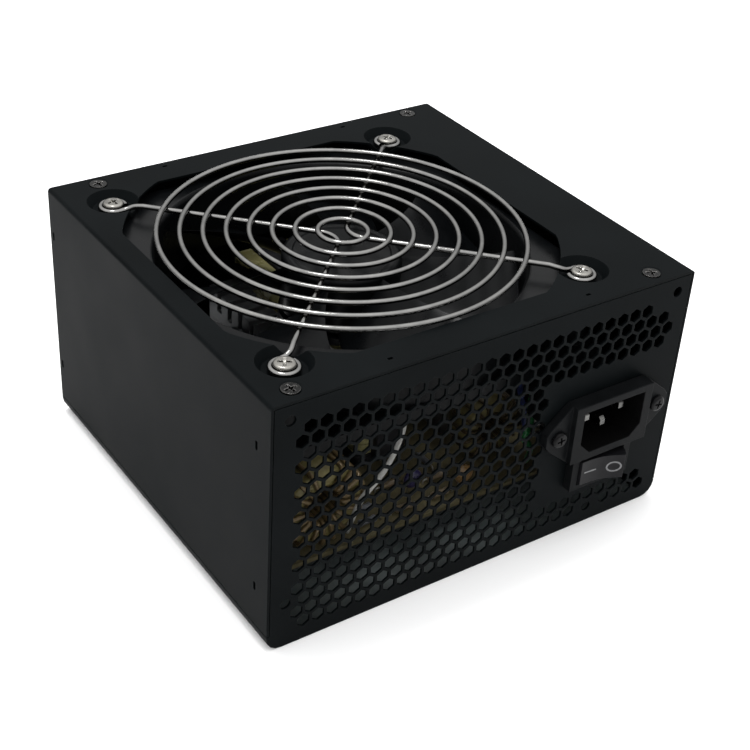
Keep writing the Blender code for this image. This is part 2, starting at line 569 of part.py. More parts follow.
def inlet_body(mat):
    face = -HALF_L
    w, h, tip = INLET_BLOCK_W / 2, INLET_BLOCK_H / 2, INLET_TIP
    right = [(w, -h), (tip - 1.5, -4.0), (tip, -2.0), (tip, 2.0), (tip - 1.5, 4.0), (w, h)]
    edge = [(INLET_X + x, INLET_Z + z) for x, z in right + [(-x, -z) for x, z in right]]
    holes = [circle(INLET_X + side * INLET_PITCH, INLET_Z, FLANGE_SCREW_R, 10) for side in (-1, 1)]
    flange = plate(edge, holes, "Y", face - INLET_FLANGE_OUT, face - GAP / 2)
    outline = rectangle(INLET_X, INLET_Z, INLET_BLOCK_W, INLET_BLOCK_H)
    block = prism(outline, "Y", face - INLET_BLOCK_OUT, face - 1.0)
    outline = cut_corners(INLET_X, INLET_Z, BODY_W, BODY_H, BODY_CUT)
    back = prism(outline, "Y", face - 1.5, face + BODY_IN)
    bottom = face - INLET_BLOCK_OUT + MOUTH_DEPTH
    outline = cut_corners(INLET_X, INLET_Z, MOUTH_W, MOUTH_H, MOUTH_CUT)
    mouth = prism(outline, "Y", face - INLET_BLOCK_OUT - 1, bottom)
    slots = [prism(rectangle(INLET_X + x, INLET_Z + z, PIN_W + 2 * GAP, PIN_H + 2 * GAP), "Y",
                   bottom - 1, face + BODY_IN + 1) for x, z in PINS.values()]
    return finish("inlet_body", cut(join(flange, block, back), mouth, *slots), mat)


def inlet_pins(mat):
    tip, back = -HALF_L - INLET_BLOCK_OUT + PIN_TIP_IN, -HALF_L + PIN_BACK
    for name, (dx, dz) in PINS.items():
        x, z, w, h = INLET_X + dx, INLET_Z + dz, PIN_W / 2, PIN_H / 2
        low = [(tip, z - h / 2), (tip + 1.2, z - h), (back, z - h)]
        high = [(y, 2 * z - level) for y, level in reversed(low)]
        finish(f"inlet_pin_{name}", prism(low + high, "X", x - w, x + w), mat)


def switch_housing(mat):
    face = -HALF_L
    bezel = prism(rectangle(SWITCH_X, SWITCH_Z, BEZEL_W, BEZEL_H), "Y", face - BEZEL_OUT, face - GAP / 2)
    body = prism(rectangle(SWITCH_X, SWITCH_Z, SWITCH_W, SWITCH_H), "Y", face - 1, face + SWITCH_IN)
    well = rectangle(SWITCH_X, SWITCH_Z, WELL_W, WELL_H)
    well = prism(well, "Y", face - BEZEL_OUT - 1, face + WELL_IN)
    at = (SWITCH_X, face - ROCKER_PIVOT_OUT, SWITCH_Z)
    reach = WELL_H / 2 + 0.55
    sockets = cylinder(AXLE_R + AXLE_PLAY, -reach, reach, 8, at)
    slots = [prism(rectangle(SWITCH_X + x, SWITCH_Z, TERMINAL_W + 2 * GAP, TERMINAL_T + 2 * GAP), "Y",
                   face + TERMINAL_LOW, face + SWITCH_IN + 1) for x in (-TERMINAL_DX, TERMINAL_DX)]
    return finish("switch_housing", cut(join(bezel, body), well, sockets, *slots), mat)


def switch_terminals(mat):
    for name, dx in (("line", -TERMINAL_DX), ("load", TERMINAL_DX)):
        tab = rectangle(SWITCH_X + dx, SWITCH_Z, TERMINAL_W, TERMINAL_T)
        tab = prism(tab, "Y", -HALF_L + TERMINAL_LOW + GAP, -HALF_L + TERMINAL_END)
        finish(f"switch_terminal_{name}", tab, mat)


def rocker(mat):
    """A lever with a hollowed face, its ends turned about the pivot. At rest its left end is in."""
    face_end, foot = ROCKER_FACE[-1], ROCKER_FOOT
    side = arc(0, 0, ROCKER_R, math.degrees(math.asin(face_end[1] / ROCKER_R)), -15, 4)[1:]
    profile = [*ROCKER_FACE, *side, foot, (-foot[0], foot[1]), *((-x, out) for x, out in reversed(side))]
    body = prism([(x, -out) for x, out in profile], "Z", -ROCKER_HALF_H, ROCKER_HALF_H)
    axle = cylinder(AXLE_R, -WELL_H / 2 - GAP, WELL_H / 2 + GAP, 8)
    lever = join(body, axle)
    pivot = (SWITCH_X, -HALF_L - ROCKER_PIVOT_OUT, SWITCH_Z)
    lever.transform(Matrix.Translation(pivot) @ Matrix.Rotation(-ROCKER_TILT, 4, "Z"))
    return finish("rocker", lever, mat, True, pivot)


# ---------------------------------------------------------------- inside


def wound_block(name, x, y, w, d, h, mat):
    """A transformer: a core frame with the deeper winding round its middle leg."""
    core = box(x - w / 2, x + w / 2, y - d / 4, y + d / 4, BOARD_TOP + 1.5, BOARD_TOP + h)
    coil = prism(round_rectangle(x, y, w * 0.72, d, 3.0), "Z", BOARD_TOP, BOARD_TOP + h - 5)
    return finish(name, join(core, coil), mat)


def can(name, x, y, r, h, mat, sides=16):
    """An electrolytic capacitor: a can with a rolled groove near its foot."""
    low = BOARD_TOP
    profile = [(0, low), (r, low), (r - 0.4, low + 2.5), (r, low + 3.2), (r, low + h - 0.6),
               (r - 0.6, low + h), (0, low + h)]
    return finish(name, lathe(profile, sides, (x, y, 0)), mat, True)


def ring_coil(name, x, y, r, hole, thick, mat):
    """A wound ring core standing on its rim."""
    c = thick * 0.25
    profile = [(hole, -thick / 2), (r - c, -thick / 2), (r, -thick / 2 + c), (r, thick / 2 - c),
               (r - c, thick / 2), (hole, thick / 2)]
    coil = lathe(profile, 16, (x, y, BOARD_TOP + r + 0.2), "Y", math.pi / 16)
    return finish(name, coil, mat, True)


def heatsink(name, x, y0, y1, hand, mat):
    """A plate on edge: level fins away from the power devices, and a top flange cut into fingers."""
    section = [(0, BOARD_TOP), (SINK_T, BOARD_TOP)]
    for z in SINK_FIN_ZS:
        section += [(SINK_T, z), (SINK_FIN, z), (SINK_FIN, z + SINK_FIN_T), (SINK_T, z + SINK_FIN_T)]
    under = SINK_TOP - SINK_FLANGE_T
    section += [(SINK_T, under), (SINK_FIN, under), (SINK_FIN, SINK_TOP), (0, SINK_TOP)]
    plate_body = prism([(x + hand * a, z) for a, z in section], "Y", y0, y1)
    gaps, y = [], y0 + COMB_PITCH
    while y < y1 - COMB_PITCH / 2:
        gaps.append(box(x - SINK_FIN - 1, x + SINK_FIN + 1, y - COMB_GAP / 2, y + COMB_GAP / 2,
                        COMB_LOW, SINK_TOP + 1))
        y += COMB_PITCH
    return finish(name, cut(plate_body, *gaps), mat)


def package(name, x, y, mat):
    """A flat power package clamped to a heatsink, with its lead frame going down."""
    half_t, half_w = PACKAGE_T / 2, PACKAGE_W / 2
    body = box(x - half_t, x + half_t, y - half_w, y + half_w, PACKAGE_LOW, PACKAGE_TOP)
    feet = box(x - 0.4, x + 0.4, y - 5.5, y + 5.5, BOARD_TOP, PACKAGE_LOW + 1.0)
    return finish(name, join(body, feet), mat)


def lead(name, path, mat, r=LEAD_R):
    return finish(name, tube(path, r, 6), mat, True)


def board_and_sheet(mats):
    outline = rectangle(0, (BOARD_Y0 + BOARD_Y1) / 2, BOARD_W, BOARD_Y1 - BOARD_Y0)
    holes = [circle(x, y, BOARD_HOLE_R, 8) for x, y in BOARD_SCREWS]
    finish("main_board", plate(outline, holes, "Z", BOARD_Z, BOARD_Z + BOARD_T), mats["board"])
    holes = [circle(x, y, SHEET_HOLE_R, 10) for x, y in BOARD_SCREWS]
    film = plate(rectangle(0, 0, SHEET_W, SHEET_L), holes, "Z", SHEET_LOW, SHEET_LOW + SHEET_THICK)
    finish("insulating_sheet", film, mats["film"])
    for k, (x, y) in enumerate(BOARD_SCREWS):
        screw(f"board_screw_{k + 1}", (x, y, BOARD_TOP - 0.1), mats["steel"], SMALL_PAN_HEAD, 1.2, 5.0)


def board_parts(mats):
    heatsink("heatsink_primary", 27.0, -18.0, 52.0, -1, mats["aluminium"])
    heatsink("heatsink_secondary", -31.0, -26.0, 44.0, 1, mats["aluminium"])
    for k in range(2):
        package(f"power_transistor_{k + 1}", *TRANSISTORS[k], mats["resin"])
        package(f"output_rectifier_{k + 1}", *RECTIFIERS[k], mats["resin"])
        can(f"bulk_capacitor_{k + 1}", *BULK_CANS[k], BULK_R, BULK_H, mats["can_dark"], 16)
    for k, (x, y) in enumerate(OUTPUT_CANS):
        can(f"output_capacitor_{k + 1}", x, y, OUTPUT_R, OUTPUT_H, mats["can_dark"], 10)
    wound_block("main_transformer", 0.0, 43.0, 30.0, 32.0, 44.0, mats["tape"])
    wound_block("standby_transformer", -2.0, -14.0, 20.0, 19.0, 23.0, mats["tape"])
    ring_coil("output_inductor", -42.0, -42.0, 15.5, 6.5, 14.0, mats["copper"])
    ring_coil("common_mode_choke", 30.0, -33.0, 12.5, 4.5, 11.0, mats["copper"])
    finish("x_capacitor", box(-10.0, 8.0, 4.0, 12.0, BOARD_TOP, BOARD_TOP + 15.0), mats["yellow"])
    bridge = box(43.0, 61.0, -18.0, -13.0, BOARD_TOP + 3, BOARD_TOP + 22.0)
    legs = box(44.0, 60.0, -15.9, -15.1, BOARD_TOP, BOARD_TOP + 4)
    finish("bridge_rectifier", join(bridge, legs), mats["resin"])
    at = (*FUSE_AT, BOARD_TOP + FUSE_R + GAP)
    finish("fuse", cylinder(FUSE_R, -FUSE_HALF_L, FUSE_HALF_L, 12, at, "Y"), mats["glass"], True)


def leads(mats):
    """Four insulated wires: three from the inlet's pins and one from the fan, each down to the board."""
    back = -HALF_L + PIN_BACK + GAP
    x, z, low = INLET_X, INLET_Z, BOARD_TOP + 1.0
    lead("live_lead", [(x + 7, back, z + 2), (x + 7, back + 3, z + 2), (x + 9, back + 8, z - 8),
                       (x + 17, back + 8, 20), (x + 17, back + 7, low)], mats["brown"])
    lead("neutral_lead", [(x - 7, back, z + 2), (x - 7, back + 3, z + 2), (x - 3, back + 9, z - 10),
                          (x + 1, back + 9, 22), (x + 1, back + 7, low)], mats["blue"])
    lead("earth_lead", [(x, back, z - 2), (x, back + 2.5, z - 2), (x - 7, back - 1, z - 8),
                        (x - 9, back - 6, z - 12), (x - 17, back - 13, z - 9), (x - 19, back - 13, z - 11),
                        (x - 14, back - 12, z - 16), (x - 10, back - 8, 19), (x - 7, back - 3, low)],
         mats["green"])
    x, fan_low = FAN_X - 12.0, FAN_BOTTOM - 1.2
    lead("fan_lead", [(x, FAN_Y - 4, fan_low), (x, FAN_Y - 46, fan_low), (x + 0.8, -54.5, 53.6),
                      (-22.4, -56.0, 46.1), (-27.4, -56.0, 36.9), (-34.4, -56.0, 32.0), (-36.5, -54.0, 22.0),
                      (-33.0, -47.0, low)], mats["white"], FAN_LEAD_R)


def cable_grommet(mat):
    """A split-free bush that lines the cable hole: a flange each side and a groove over the sheet."""
    at = (CABLE_X, HALF_L, CABLE_Z)
    r, t = CABLE_R, SHEET
    profile = [(r - 3.0, 2.0), (r + 1.6, 2.0), (r + 1.6, GAP), (r - GAP, GAP), (r - GAP, -t - GAP),
               (r + 1.2, -t - GAP), (r + 1.2, -t - 2.0), (r - 3.0, -t - 2.0)]
    bush = lathe([(a, -h) for a, h in profile], 16, at, "Y")
    return finish("cable_grommet", bush, mat, True)


# ---------------------------------------------------------------- assembly


def build():
    clear_scene()
    mats = {
        "case": make_material("case_black_powder", (0.022, 0.025, 0.026), 0.3, 0.55),
        "chrome": make_material("chromed_wire", (0.8, 0.8, 0.8), 1.0, 0.15),
        "steel": make_material("zinc_steel", (0.6, 0.6, 0.58), 1.0, 0.3),
        "fan": make_material("fan_black_plastic", (0.02, 0.02, 0.022), 0.0, 0.35),
        "plastic": make_material("socket_black_plastic", (0.025, 0.025, 0.028), 0.0, 0.4),
        "magnet": make_material("ferrite", (0.03, 0.03, 0.03), 0.2, 0.6),
        "brass": make_material("brass", (0.7, 0.5, 0.25), 1.0, 0.35),
        "copper": make_material("copper_winding", (0.5, 0.22, 0.08), 0.8, 0.35),
        "board": make_material("circuit_board", (0.22, 0.2, 0.09), 0.0, 0.5),
        "film": make_material("insulating_film", (0.5, 0.5, 0.42), 0.0, 0.4),
        "aluminium": make_material("aluminium", (0.6, 0.6, 0.62), 1.0, 0.4),
        "resin": make_material("moulded_resin", (0.03, 0.03, 0.03), 0.0, 0.55),
        "black_steel": make_material("blackened_steel", (0.03, 0.03, 0.03), 0.7, 0.4),
        "can_dark": make_material("sleeved_can", (0.03, 0.035, 0.06), 0.0, 0.35),
        "tape": make_material("yellow_tape", (0.72, 0.52, 0.12), 0.0, 0.4),
        "yellow": make_material("film_capacitor", (0.7, 0.55, 0.12), 0.0, 0.4),
        "glass": make_material("fuse_sleeve", (0.35, 0.36, 0.34), 0.0, 0.3),
        "brown": make_material("brown_lead", (0.16, 0.06, 0.03), 0.0, 0.4),
        "blue": make_material("blue_lead", (0.04, 0.08, 0.35), 0.0, 0.4),
        "green": make_material("green_lead", (0.05, 0.35, 0.08), 0.0, 0.4),
        "white": make_material("white_lead", (0.7, 0.7, 0.68), 0.0, 0.4),
        "rubber": make_material("grommet", (0.03, 0.03, 0.03), 0.0, 0.7),
    }
    base_chassis(mats["case"])
    top_cover(mats["case"])
    for k, (x, y) in enumerate(COVER_SCREWS):
        screw(f"cover_screw_{k + 1}", (x, y, CASE_H - 0.1), mats["black_steel"], FLAT_HEAD, 1.3, 7.0)
    for k, (sx, sy) in enumerate(((-1, -1), (1, -1), (1, 1), (-1, 1))):
        at = (FAN_X + sx * FAN_PITCH, FAN_Y + sy * FAN_PITCH, LOOP_Z + WIRE_R + 0.15)
        screw(f"guard_screw_{k + 1}", at, mats["steel"], GUARD_HEAD, 1.8, 10.0, sides=10)
    fan_guard(mats["chrome"])
    fan_frame(mats["fan"])
    fan_rotor(mats["fan"])
    fan_motor(mats)
    inlet_body(mats["plastic"])
    inlet_pins(mats["steel"])
    for k, side in enumerate((-1, 1)):
        at = (INLET_X + side * INLET_PITCH, -HALF_L - INLET_FLANGE_OUT - 0.1, INLET_Z)
        screw(f"inlet_screw_{k + 1}", at, mats["black_steel"], SMALL_PAN_HEAD, 1.35, 8.0, "Y")
    switch_housing(mats["plastic"])
    switch_terminals(mats["steel"])
    rocker(mats["plastic"])
    board_and_sheet(mats)
    board_parts(mats)
    leads(mats)
    cable_grommet(mats["rubber"])


build()
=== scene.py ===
"""Power supply unit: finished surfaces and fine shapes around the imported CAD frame.

Lengths are in millimetres. X runs right, Y from the inlet panel to the cable panel and Z up to the fan.
"""

import json
import math
import random

import bmesh
import bpy
from mathutils import Matrix, Vector

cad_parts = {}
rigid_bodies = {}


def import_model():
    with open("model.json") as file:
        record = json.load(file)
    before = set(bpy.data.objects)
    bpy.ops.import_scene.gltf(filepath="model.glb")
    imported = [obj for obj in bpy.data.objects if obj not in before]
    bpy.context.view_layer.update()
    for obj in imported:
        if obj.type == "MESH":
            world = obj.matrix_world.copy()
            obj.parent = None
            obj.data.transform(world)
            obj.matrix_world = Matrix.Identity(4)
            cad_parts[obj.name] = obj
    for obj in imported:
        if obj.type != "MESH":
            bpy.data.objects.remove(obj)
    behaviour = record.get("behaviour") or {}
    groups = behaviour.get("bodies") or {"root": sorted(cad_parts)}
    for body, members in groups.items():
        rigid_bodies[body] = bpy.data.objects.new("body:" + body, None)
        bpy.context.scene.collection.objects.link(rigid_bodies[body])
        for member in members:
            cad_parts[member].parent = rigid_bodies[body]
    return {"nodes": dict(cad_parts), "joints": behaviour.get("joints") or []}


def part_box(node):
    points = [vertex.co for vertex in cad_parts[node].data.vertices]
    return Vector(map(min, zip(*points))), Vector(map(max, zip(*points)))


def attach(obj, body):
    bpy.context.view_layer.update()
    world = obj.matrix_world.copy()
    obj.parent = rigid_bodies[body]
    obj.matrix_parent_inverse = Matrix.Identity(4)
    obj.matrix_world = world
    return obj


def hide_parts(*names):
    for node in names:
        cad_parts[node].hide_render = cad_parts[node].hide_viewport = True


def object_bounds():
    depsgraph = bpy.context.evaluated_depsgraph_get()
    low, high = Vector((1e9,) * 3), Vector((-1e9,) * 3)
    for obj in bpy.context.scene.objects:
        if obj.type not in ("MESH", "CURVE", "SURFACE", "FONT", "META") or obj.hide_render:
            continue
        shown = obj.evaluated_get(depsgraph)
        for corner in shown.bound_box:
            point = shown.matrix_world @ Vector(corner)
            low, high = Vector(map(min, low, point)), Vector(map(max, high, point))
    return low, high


for old in list(bpy.data.objects):
    bpy.data.objects.remove(old, do_unlink=True)
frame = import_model()
cad_bounds = [list(corner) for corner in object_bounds()]

MM = 0.001
NODES = frame["nodes"]
JOINTS = {joint["name"]: joint for joint in frame["joints"]}
rng = random.Random(7)


def span(node):
    """Lowest and highest corner of a CAD node, in millimetres."""
    low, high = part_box(node)
    return low / MM, high / MM


def middle(node):
    low, high = span(node)
    return (low + high) / 2


# -------- materials

NOISE_ROUGHNESS = 0.55
COAT_ROUGHNESS = 0.12
CELL_SIZE = 1.3  # of the pits, in grain sizes
WEAR_AND_HIGHLIGHT_PATCH = 3.0  # length of the stretches of a corner with and without its lighter colour: wear, and on the case painted highlight


class Graph:
    """The nodes of one material, fed by object coordinates in metres."""

    def __init__(self, name):
        self.mat = bpy.data.materials.new(name)
        self.mat.use_nodes = True
        self.tree = self.mat.node_tree
        self.shader = self.tree.nodes["Principled BSDF"]
        self.coord = self.add("ShaderNodeTexCoord").outputs["Object"]

    def add(self, kind, inputs=None, **settings):
        """A new node with its settings and the sources or values of its sockets."""
        node = self.tree.nodes.new(kind)
        for key, value in settings.items():
            setattr(node, key, value)
        for key, value in (inputs or {}).items():
            self.put(node.inputs[key], value)
        return node

    def put(self, socket, value):
        if isinstance(value, bpy.types.NodeSocket):
            self.tree.links.new(value, socket)
        else:
            socket.default_value = value

    def stretched(self, stretch):
        """Object coordinates scaled along each axis."""
        return self.add("ShaderNodeVectorMath", {0: self.coord, 1: stretch}, operation="MULTIPLY").outputs[0]

    def noise(self, size_mm, detail=3.0, stretch=(1, 1, 1)):
        """Cloud noise whose lumps are about that size."""
        where = self.stretched(tuple(s / (size_mm * MM) for s in stretch))
        inputs = {"Vector": where, "Scale": 1.0, "Detail": detail, "Roughness": NOISE_ROUGHNESS}
        return self.add("ShaderNodeTexNoise", inputs).outputs["Fac"]

    def cells(self, size_mm):
        """Distance from the middle of the nearest cell of about that size."""
        where = self.stretched((1 / (size_mm * MM),) * 3)
        return self.add("ShaderNodeTexVoronoi", {"Vector": where, "Scale": 1.0}).outputs["Distance"]

    def level(self, value, low, high, to_low=0.0, to_high=1.0):
        """The value mapped from one range to another and clamped there."""
        inputs = {"Value": value, "From Min": low, "From Max": high, "To Min": to_low, "To Max": to_high}
        return self.add("ShaderNodeMapRange", inputs).outputs["Result"]

    def maths(self, operation, one, two=0.0, three=0.0):
        return self.add("ShaderNodeMath", {0: one, 1: two, 2: three}, operation=operation).outputs[0]

    def mix(self, factor, one, two):
        one, two = [(*c, 1.0) if isinstance(c, tuple) and len(c) == 3 else c for c in (one, two)]
        return self.add("ShaderNodeMix", {0: factor, 6: one, 7: two}, data_type="RGBA").outputs[2]

    def bump(self, height, depth_mm, normal=None):
        node = self.add("ShaderNodeBump", {"Height": height, "Distance": depth_mm * MM, "Strength": 1.0})
        if normal is not None:
            self.put(node.inputs["Normal"], normal)
        return node.outputs["Normal"]

    def corners(self, radius_mm):
        """A normal rounded over corners of that radius, and a mask that is 1 at them and 0 on flats."""
        soft = self.add("ShaderNodeBevel", {"Radius": radius_mm * MM}, samples=4).outputs[0]
        flat = self.add("ShaderNodeNewGeometry").outputs["Normal"]
        dot = self.add("ShaderNodeVectorMath", {0: soft, 1: flat}, operation="DOT_PRODUCT")
        return soft, self.level(dot.outputs["Value"], 0.98, 0.8)

    def feed(self, colour, gloss, normal):
        """Feeds the shader and gives the material."""
        for name, value in (("Base Color", colour), ("Roughness", gloss), ("Normal", normal)):
            self.put(self.shader.inputs[name], value)
        return self.mat


def surface(name, dark, light, rough, grain, patch=14.0, metallic=0.0, specular=0.5, coat=0.0, cells=0.0,
            edges=None, streak=None):
    """A finish with slow patches of tone and gloss over fine relief. Sizes are in millimetres.

    rough: range of roughness; grain: (size, height) of the relief; patch: size of the patches;
    cells: share of pits; edges: (radius, colour) of lighter corners, wear and on the case painted highlight;
    streak: (size, stretch) of drawn marks.
    """
    g = Graph(name)
    size, depth = grain
    slow = g.level(g.noise(patch), 0.3, 0.7)
    fine = g.noise(size, 2.0)
    tone = g.maths("ADD", g.maths("MULTIPLY_ADD", fine, 0.35, -0.12), g.maths("MULTIPLY", slow, 0.8))
    colour = g.mix(tone, dark, light)
    uneven = g.maths("ADD", g.maths("MULTIPLY", slow, 0.65), g.maths("MULTIPLY", fine, 0.5))
    gloss = g.level(uneven, 0.0, 1.15, *rough)
    height = fine
    if cells:
        pits = g.maths("MULTIPLY", g.cells(size * CELL_SIZE), cells)
        height = g.maths("ADD", g.maths("MULTIPLY", fine, 1 - cells), pits)
    if streak:
        drawn = g.noise(streak[0], 2.0, streak[1])
        height = g.maths("ADD", height, drawn)
        gloss = g.maths("ADD", gloss, g.level(drawn, 0.3, 0.7, -0.05, 0.07))
        colour = g.mix(g.level(drawn, 0.35, 0.75, 0.0, 0.3), colour, light)
    soft = None
    if edges:
        soft, mask = g.corners(edges[0])
        # Lighter corners: wear, and on the case painted highlight where edges catch light.
        wear_and_edge_highlight = g.maths("MULTIPLY", mask, g.level(g.noise(WEAR_AND_HIGHLIGHT_PATCH, 2.0), 0.25, 0.75, 0.35, 1.0))
        colour = g.mix(wear_and_edge_highlight, colour, edges[1])
        gloss = g.maths("SUBTRACT", gloss, g.maths("MULTIPLY", wear_and_edge_highlight, 0.08))
    g.shader.inputs["Metallic"].default_value = metallic
    g.shader.inputs["Specular IOR Level"].default_value = specular
    g.shader.inputs["Coat Weight"].default_value = coat
    g.shader.inputs["Coat Roughness"].default_value = COAT_ROUGHNESS
    return g.feed(colour, gloss, g.bump(height, depth, soft))


def banded(name, tones, axis, pitch, rough):
    """Wound tape: bands across an axis, each with its own tone, and shallow grooves between them."""
    g = Graph(name)
    along = g.add("ShaderNodeSeparateXYZ", {0: g.coord}).outputs["XYZ".index(axis)]
    wobble = g.maths("MULTIPLY", g.noise(6.0, 2.0), 0.4)
    wave = g.maths("ADD", g.maths("MULTIPLY", along, 1 / (pitch * MM)), wobble)
    band = g.maths("FLOOR", wave)
    inside = g.maths("FRACT", wave)
    tone = g.add("ShaderNodeTexWhiteNoise", {"W": band}, noise_dimensions="1D").outputs["Value"]
    patch = g.level(g.noise(5.0, 3.0), 0.3, 0.7)
    colour = g.mix(g.maths("ADD", g.maths("MULTIPLY", tone, 0.5), g.maths("MULTIPLY", patch, 0.5)), *tones)
    groove = g.maths("MINIMUM", g.level(inside, 0.0, 0.14), g.level(inside, 1.0, 0.86))
    colour = g.mix(groove, tuple(0.55 * c for c in tones[0]), colour)
    relief = g.maths("ADD", groove, g.maths("MULTIPLY", g.noise(0.8), 0.3))
    return g.feed(colour, g.level(patch, 0.0, 1.0, *rough), g.bump(relief, 0.08))


def grey(tone):
    return (tone, tone, tone)


def floor_material():
    g = Graph("studio_floor")
    g.shader.inputs["Specular IOR Level"].default_value = 0.25
    colour = g.mix(g.level(g.noise(300.0), 0.3, 0.7), (0.93, 0.93, 0.935), grey(0.96))
    return g.feed(colour, g.level(g.noise(2.0), 0.3, 0.7, 0.72, 0.85), g.bump(g.noise(1.2), 0.02))


EVEN, BRUSHED, WOVEN = (1, 1, 1), (1.0, 0.04, 1.0), (1, 0.12, 1)  # stretch of a streak
# Its lighter corners are painted highlight where edges catch light, with some wear.
CASE = surface("case_powder_coat", (0.0016, 0.0023, 0.0026), (0.004, 0.0051, 0.0056), (0.42, 0.56),
               (0.32, 0.018), patch=30.0, specular=0.025, cells=0.35, edges=(0.22, (0.016, 0.018, 0.018)))
CHROME = surface("chromed_wire", (0.15, 0.15, 0.147), (0.22, 0.217, 0.21), (0.07, 0.15), (0.5, 0.003),
                 patch=5.0, metallic=1.0, streak=(1.4, EVEN))
ZINC = surface("zinc_plated_steel", (0.15, 0.146, 0.135), (0.28, 0.272, 0.25), (0.22, 0.36), (0.25, 0.01),
               patch=2.5, metallic=1.0, streak=(0.9, EVEN), edges=(0.12, (0.7, 0.69, 0.66)))
BRIGHT = surface("nickel_plated_steel", (0.3, 0.3, 0.29), (0.46, 0.45, 0.43), (0.22, 0.38), (0.25, 0.006),
                 patch=2.0, metallic=1.0)
# Painted shade: the pins' nickel is darkened to stand in for the shade inside the inlet's mouth.
PIN_NICKEL_SHADED = surface("pin_nickel_painted_shade", (0.08, 0.08, 0.078), (0.17, 0.168, 0.16), (0.2, 0.34), (0.25, 0.006),
                    patch=2.0, metallic=1.0)
BLACK_SCREW = surface("blacked_screw", (0.0012, 0.0012, 0.0014), (0.0045, 0.0045, 0.005), (0.3, 0.45),
                      (0.2, 0.01), patch=1.5, specular=0.1, edges=(0.12, grey(0.016)))
WORN_SCREW = surface("worn_black_screw", grey(0.004), (0.022, 0.022, 0.021), (0.22, 0.36), (0.2, 0.012),
                     patch=1.2, metallic=1.0, edges=(0.34, (0.36, 0.35, 0.34)))
FAN = surface("fan_black_plastic", (0.0016, 0.0019, 0.0022), (0.0036, 0.0041, 0.0046), (0.24, 0.36),
              (0.5, 0.008), patch=10.0, specular=0.09)
SOCKET = surface("socket_black_plastic", (0.0028, 0.0032, 0.0036), (0.0056, 0.0062, 0.0068), (0.44, 0.56),
                 (0.22, 0.02), patch=6.0, specular=0.05, cells=0.3, edges=(0.2, (0.018, 0.019, 0.02)))
# Painted shade: the faces inside the inlet's mouth are coloured darker than the socket's own plastic.
SOCKET_MOUTH_SHADE = surface("socket_mouth_painted_shade", grey(0.001), (0.002, 0.002, 0.0022), (0.6, 0.75), (0.3, 0.01),
                      specular=0.05)
ROCKER = surface("rocker_plastic", (0.004, 0.004, 0.0048), (0.0072, 0.0072, 0.0084), (0.3, 0.42),
                 (0.3, 0.01), patch=4.0, specular=0.12, edges=(0.2, (0.022, 0.022, 0.024)))
MARK = surface("mark_ink", (0.11, 0.112, 0.115), (0.19, 0.192, 0.195), (0.45, 0.6), (0.15, 0.01), patch=0.7,
               specular=0.2)
FERRITE = surface("ferrite", (0.008, 0.008, 0.009), (0.018, 0.018, 0.02), (0.5, 0.68), (0.3, 0.03), patch=3.0,
                  specular=0.2, cells=0.5)
BRONZE = surface("bearing_bronze", (0.35, 0.22, 0.09), (0.52, 0.36, 0.16), (0.3, 0.45), (0.2, 0.01),
                 metallic=1.0)
COPPER = surface("enamelled_copper", (0.085, 0.06, 0.028), (0.16, 0.115, 0.055), (0.26, 0.42), (0.4, 0.008),
                 patch=2.5, metallic=0.3, specular=0.3, coat=0.1)
DARK_COPPER = surface("dark_enamelled_copper", (0.026, 0.019, 0.01), (0.055, 0.04, 0.02), (0.3, 0.45),
                      (0.4, 0.008), patch=2.5, metallic=0.3, specular=0.2)
BOARD = surface("board_laminate", (0.062, 0.054, 0.03), (0.125, 0.108, 0.058), (0.45, 0.6), (0.45, 0.02),
                patch=4.0, specular=0.15, streak=(0.9, WOVEN))
MOTOR_BOARD = surface("motor_board_laminate", (0.01, 0.05, 0.02), (0.025, 0.09, 0.04), (0.35, 0.5),
                      (0.4, 0.01), patch=3.0)
FILM = surface("insulating_film", (0.042, 0.052, 0.053), (0.11, 0.126, 0.124), (0.3, 0.45), (2.5, 0.04),
               patch=18.0, specular=0.25, coat=0.06)
ALUMINIUM = surface("drawn_aluminium", (0.07, 0.075, 0.078), (0.15, 0.156, 0.16), (0.38, 0.52), (0.3, 0.01),
                    patch=6.0, metallic=0.8, streak=(0.5, BRUSHED), edges=(0.15, grey(0.25)))
RESIN = surface("moulded_resin", (0.006, 0.006, 0.007), (0.014, 0.014, 0.016), (0.45, 0.62), (0.18, 0.02),
                patch=3.0, specular=0.2, cells=0.4, edges=(0.15, grey(0.03)))
SLEEVE = surface("can_sleeve", (0.006, 0.008, 0.018), (0.01, 0.013, 0.03), (0.16, 0.26), (1.2, 0.02),
                 patch=6.0, specular=0.3, coat=0.1)
SLEEVE_LINE = surface("can_sleeve_stripe", (0.14, 0.145, 0.14), (0.22, 0.225, 0.21), (0.2, 0.3), (1.2, 0.02),
                      patch=3.0, coat=0.1)
TAPE = banded("wound_tape", ((0.17, 0.155, 0.06), (0.28, 0.265, 0.13)), "Z", 3.2, (0.2, 0.35))
CORE_YELLOW = surface("painted_core", (0.1, 0.085, 0.03), (0.19, 0.165, 0.068), (0.35, 0.5), (0.3, 0.02),
                      patch=3.0, specular=0.25, cells=0.3)
CORE_DARK = surface("dark_painted_core", (0.07, 0.06, 0.024), (0.13, 0.112, 0.048), (0.35, 0.5),
                    (0.3, 0.02), patch=3.0, specular=0.2, cells=0.3)
FILM_CAP = surface("film_capacitor", (0.16, 0.12, 0.03), (0.26, 0.2, 0.055), (0.25, 0.38), (0.5, 0.012),
                   patch=4.0, coat=0.1)
GLASS_SLEEVE = surface("fuse_sleeve", (0.12, 0.125, 0.115), (0.2, 0.205, 0.19), (0.15, 0.28), (0.9, 0.015),
                       patch=3.0, coat=0.3)
RUBBER = surface("grommet_rubber", grey(0.004), grey(0.01), (0.55, 0.72), (0.3, 0.02), patch=5.0,
                 specular=0.15)
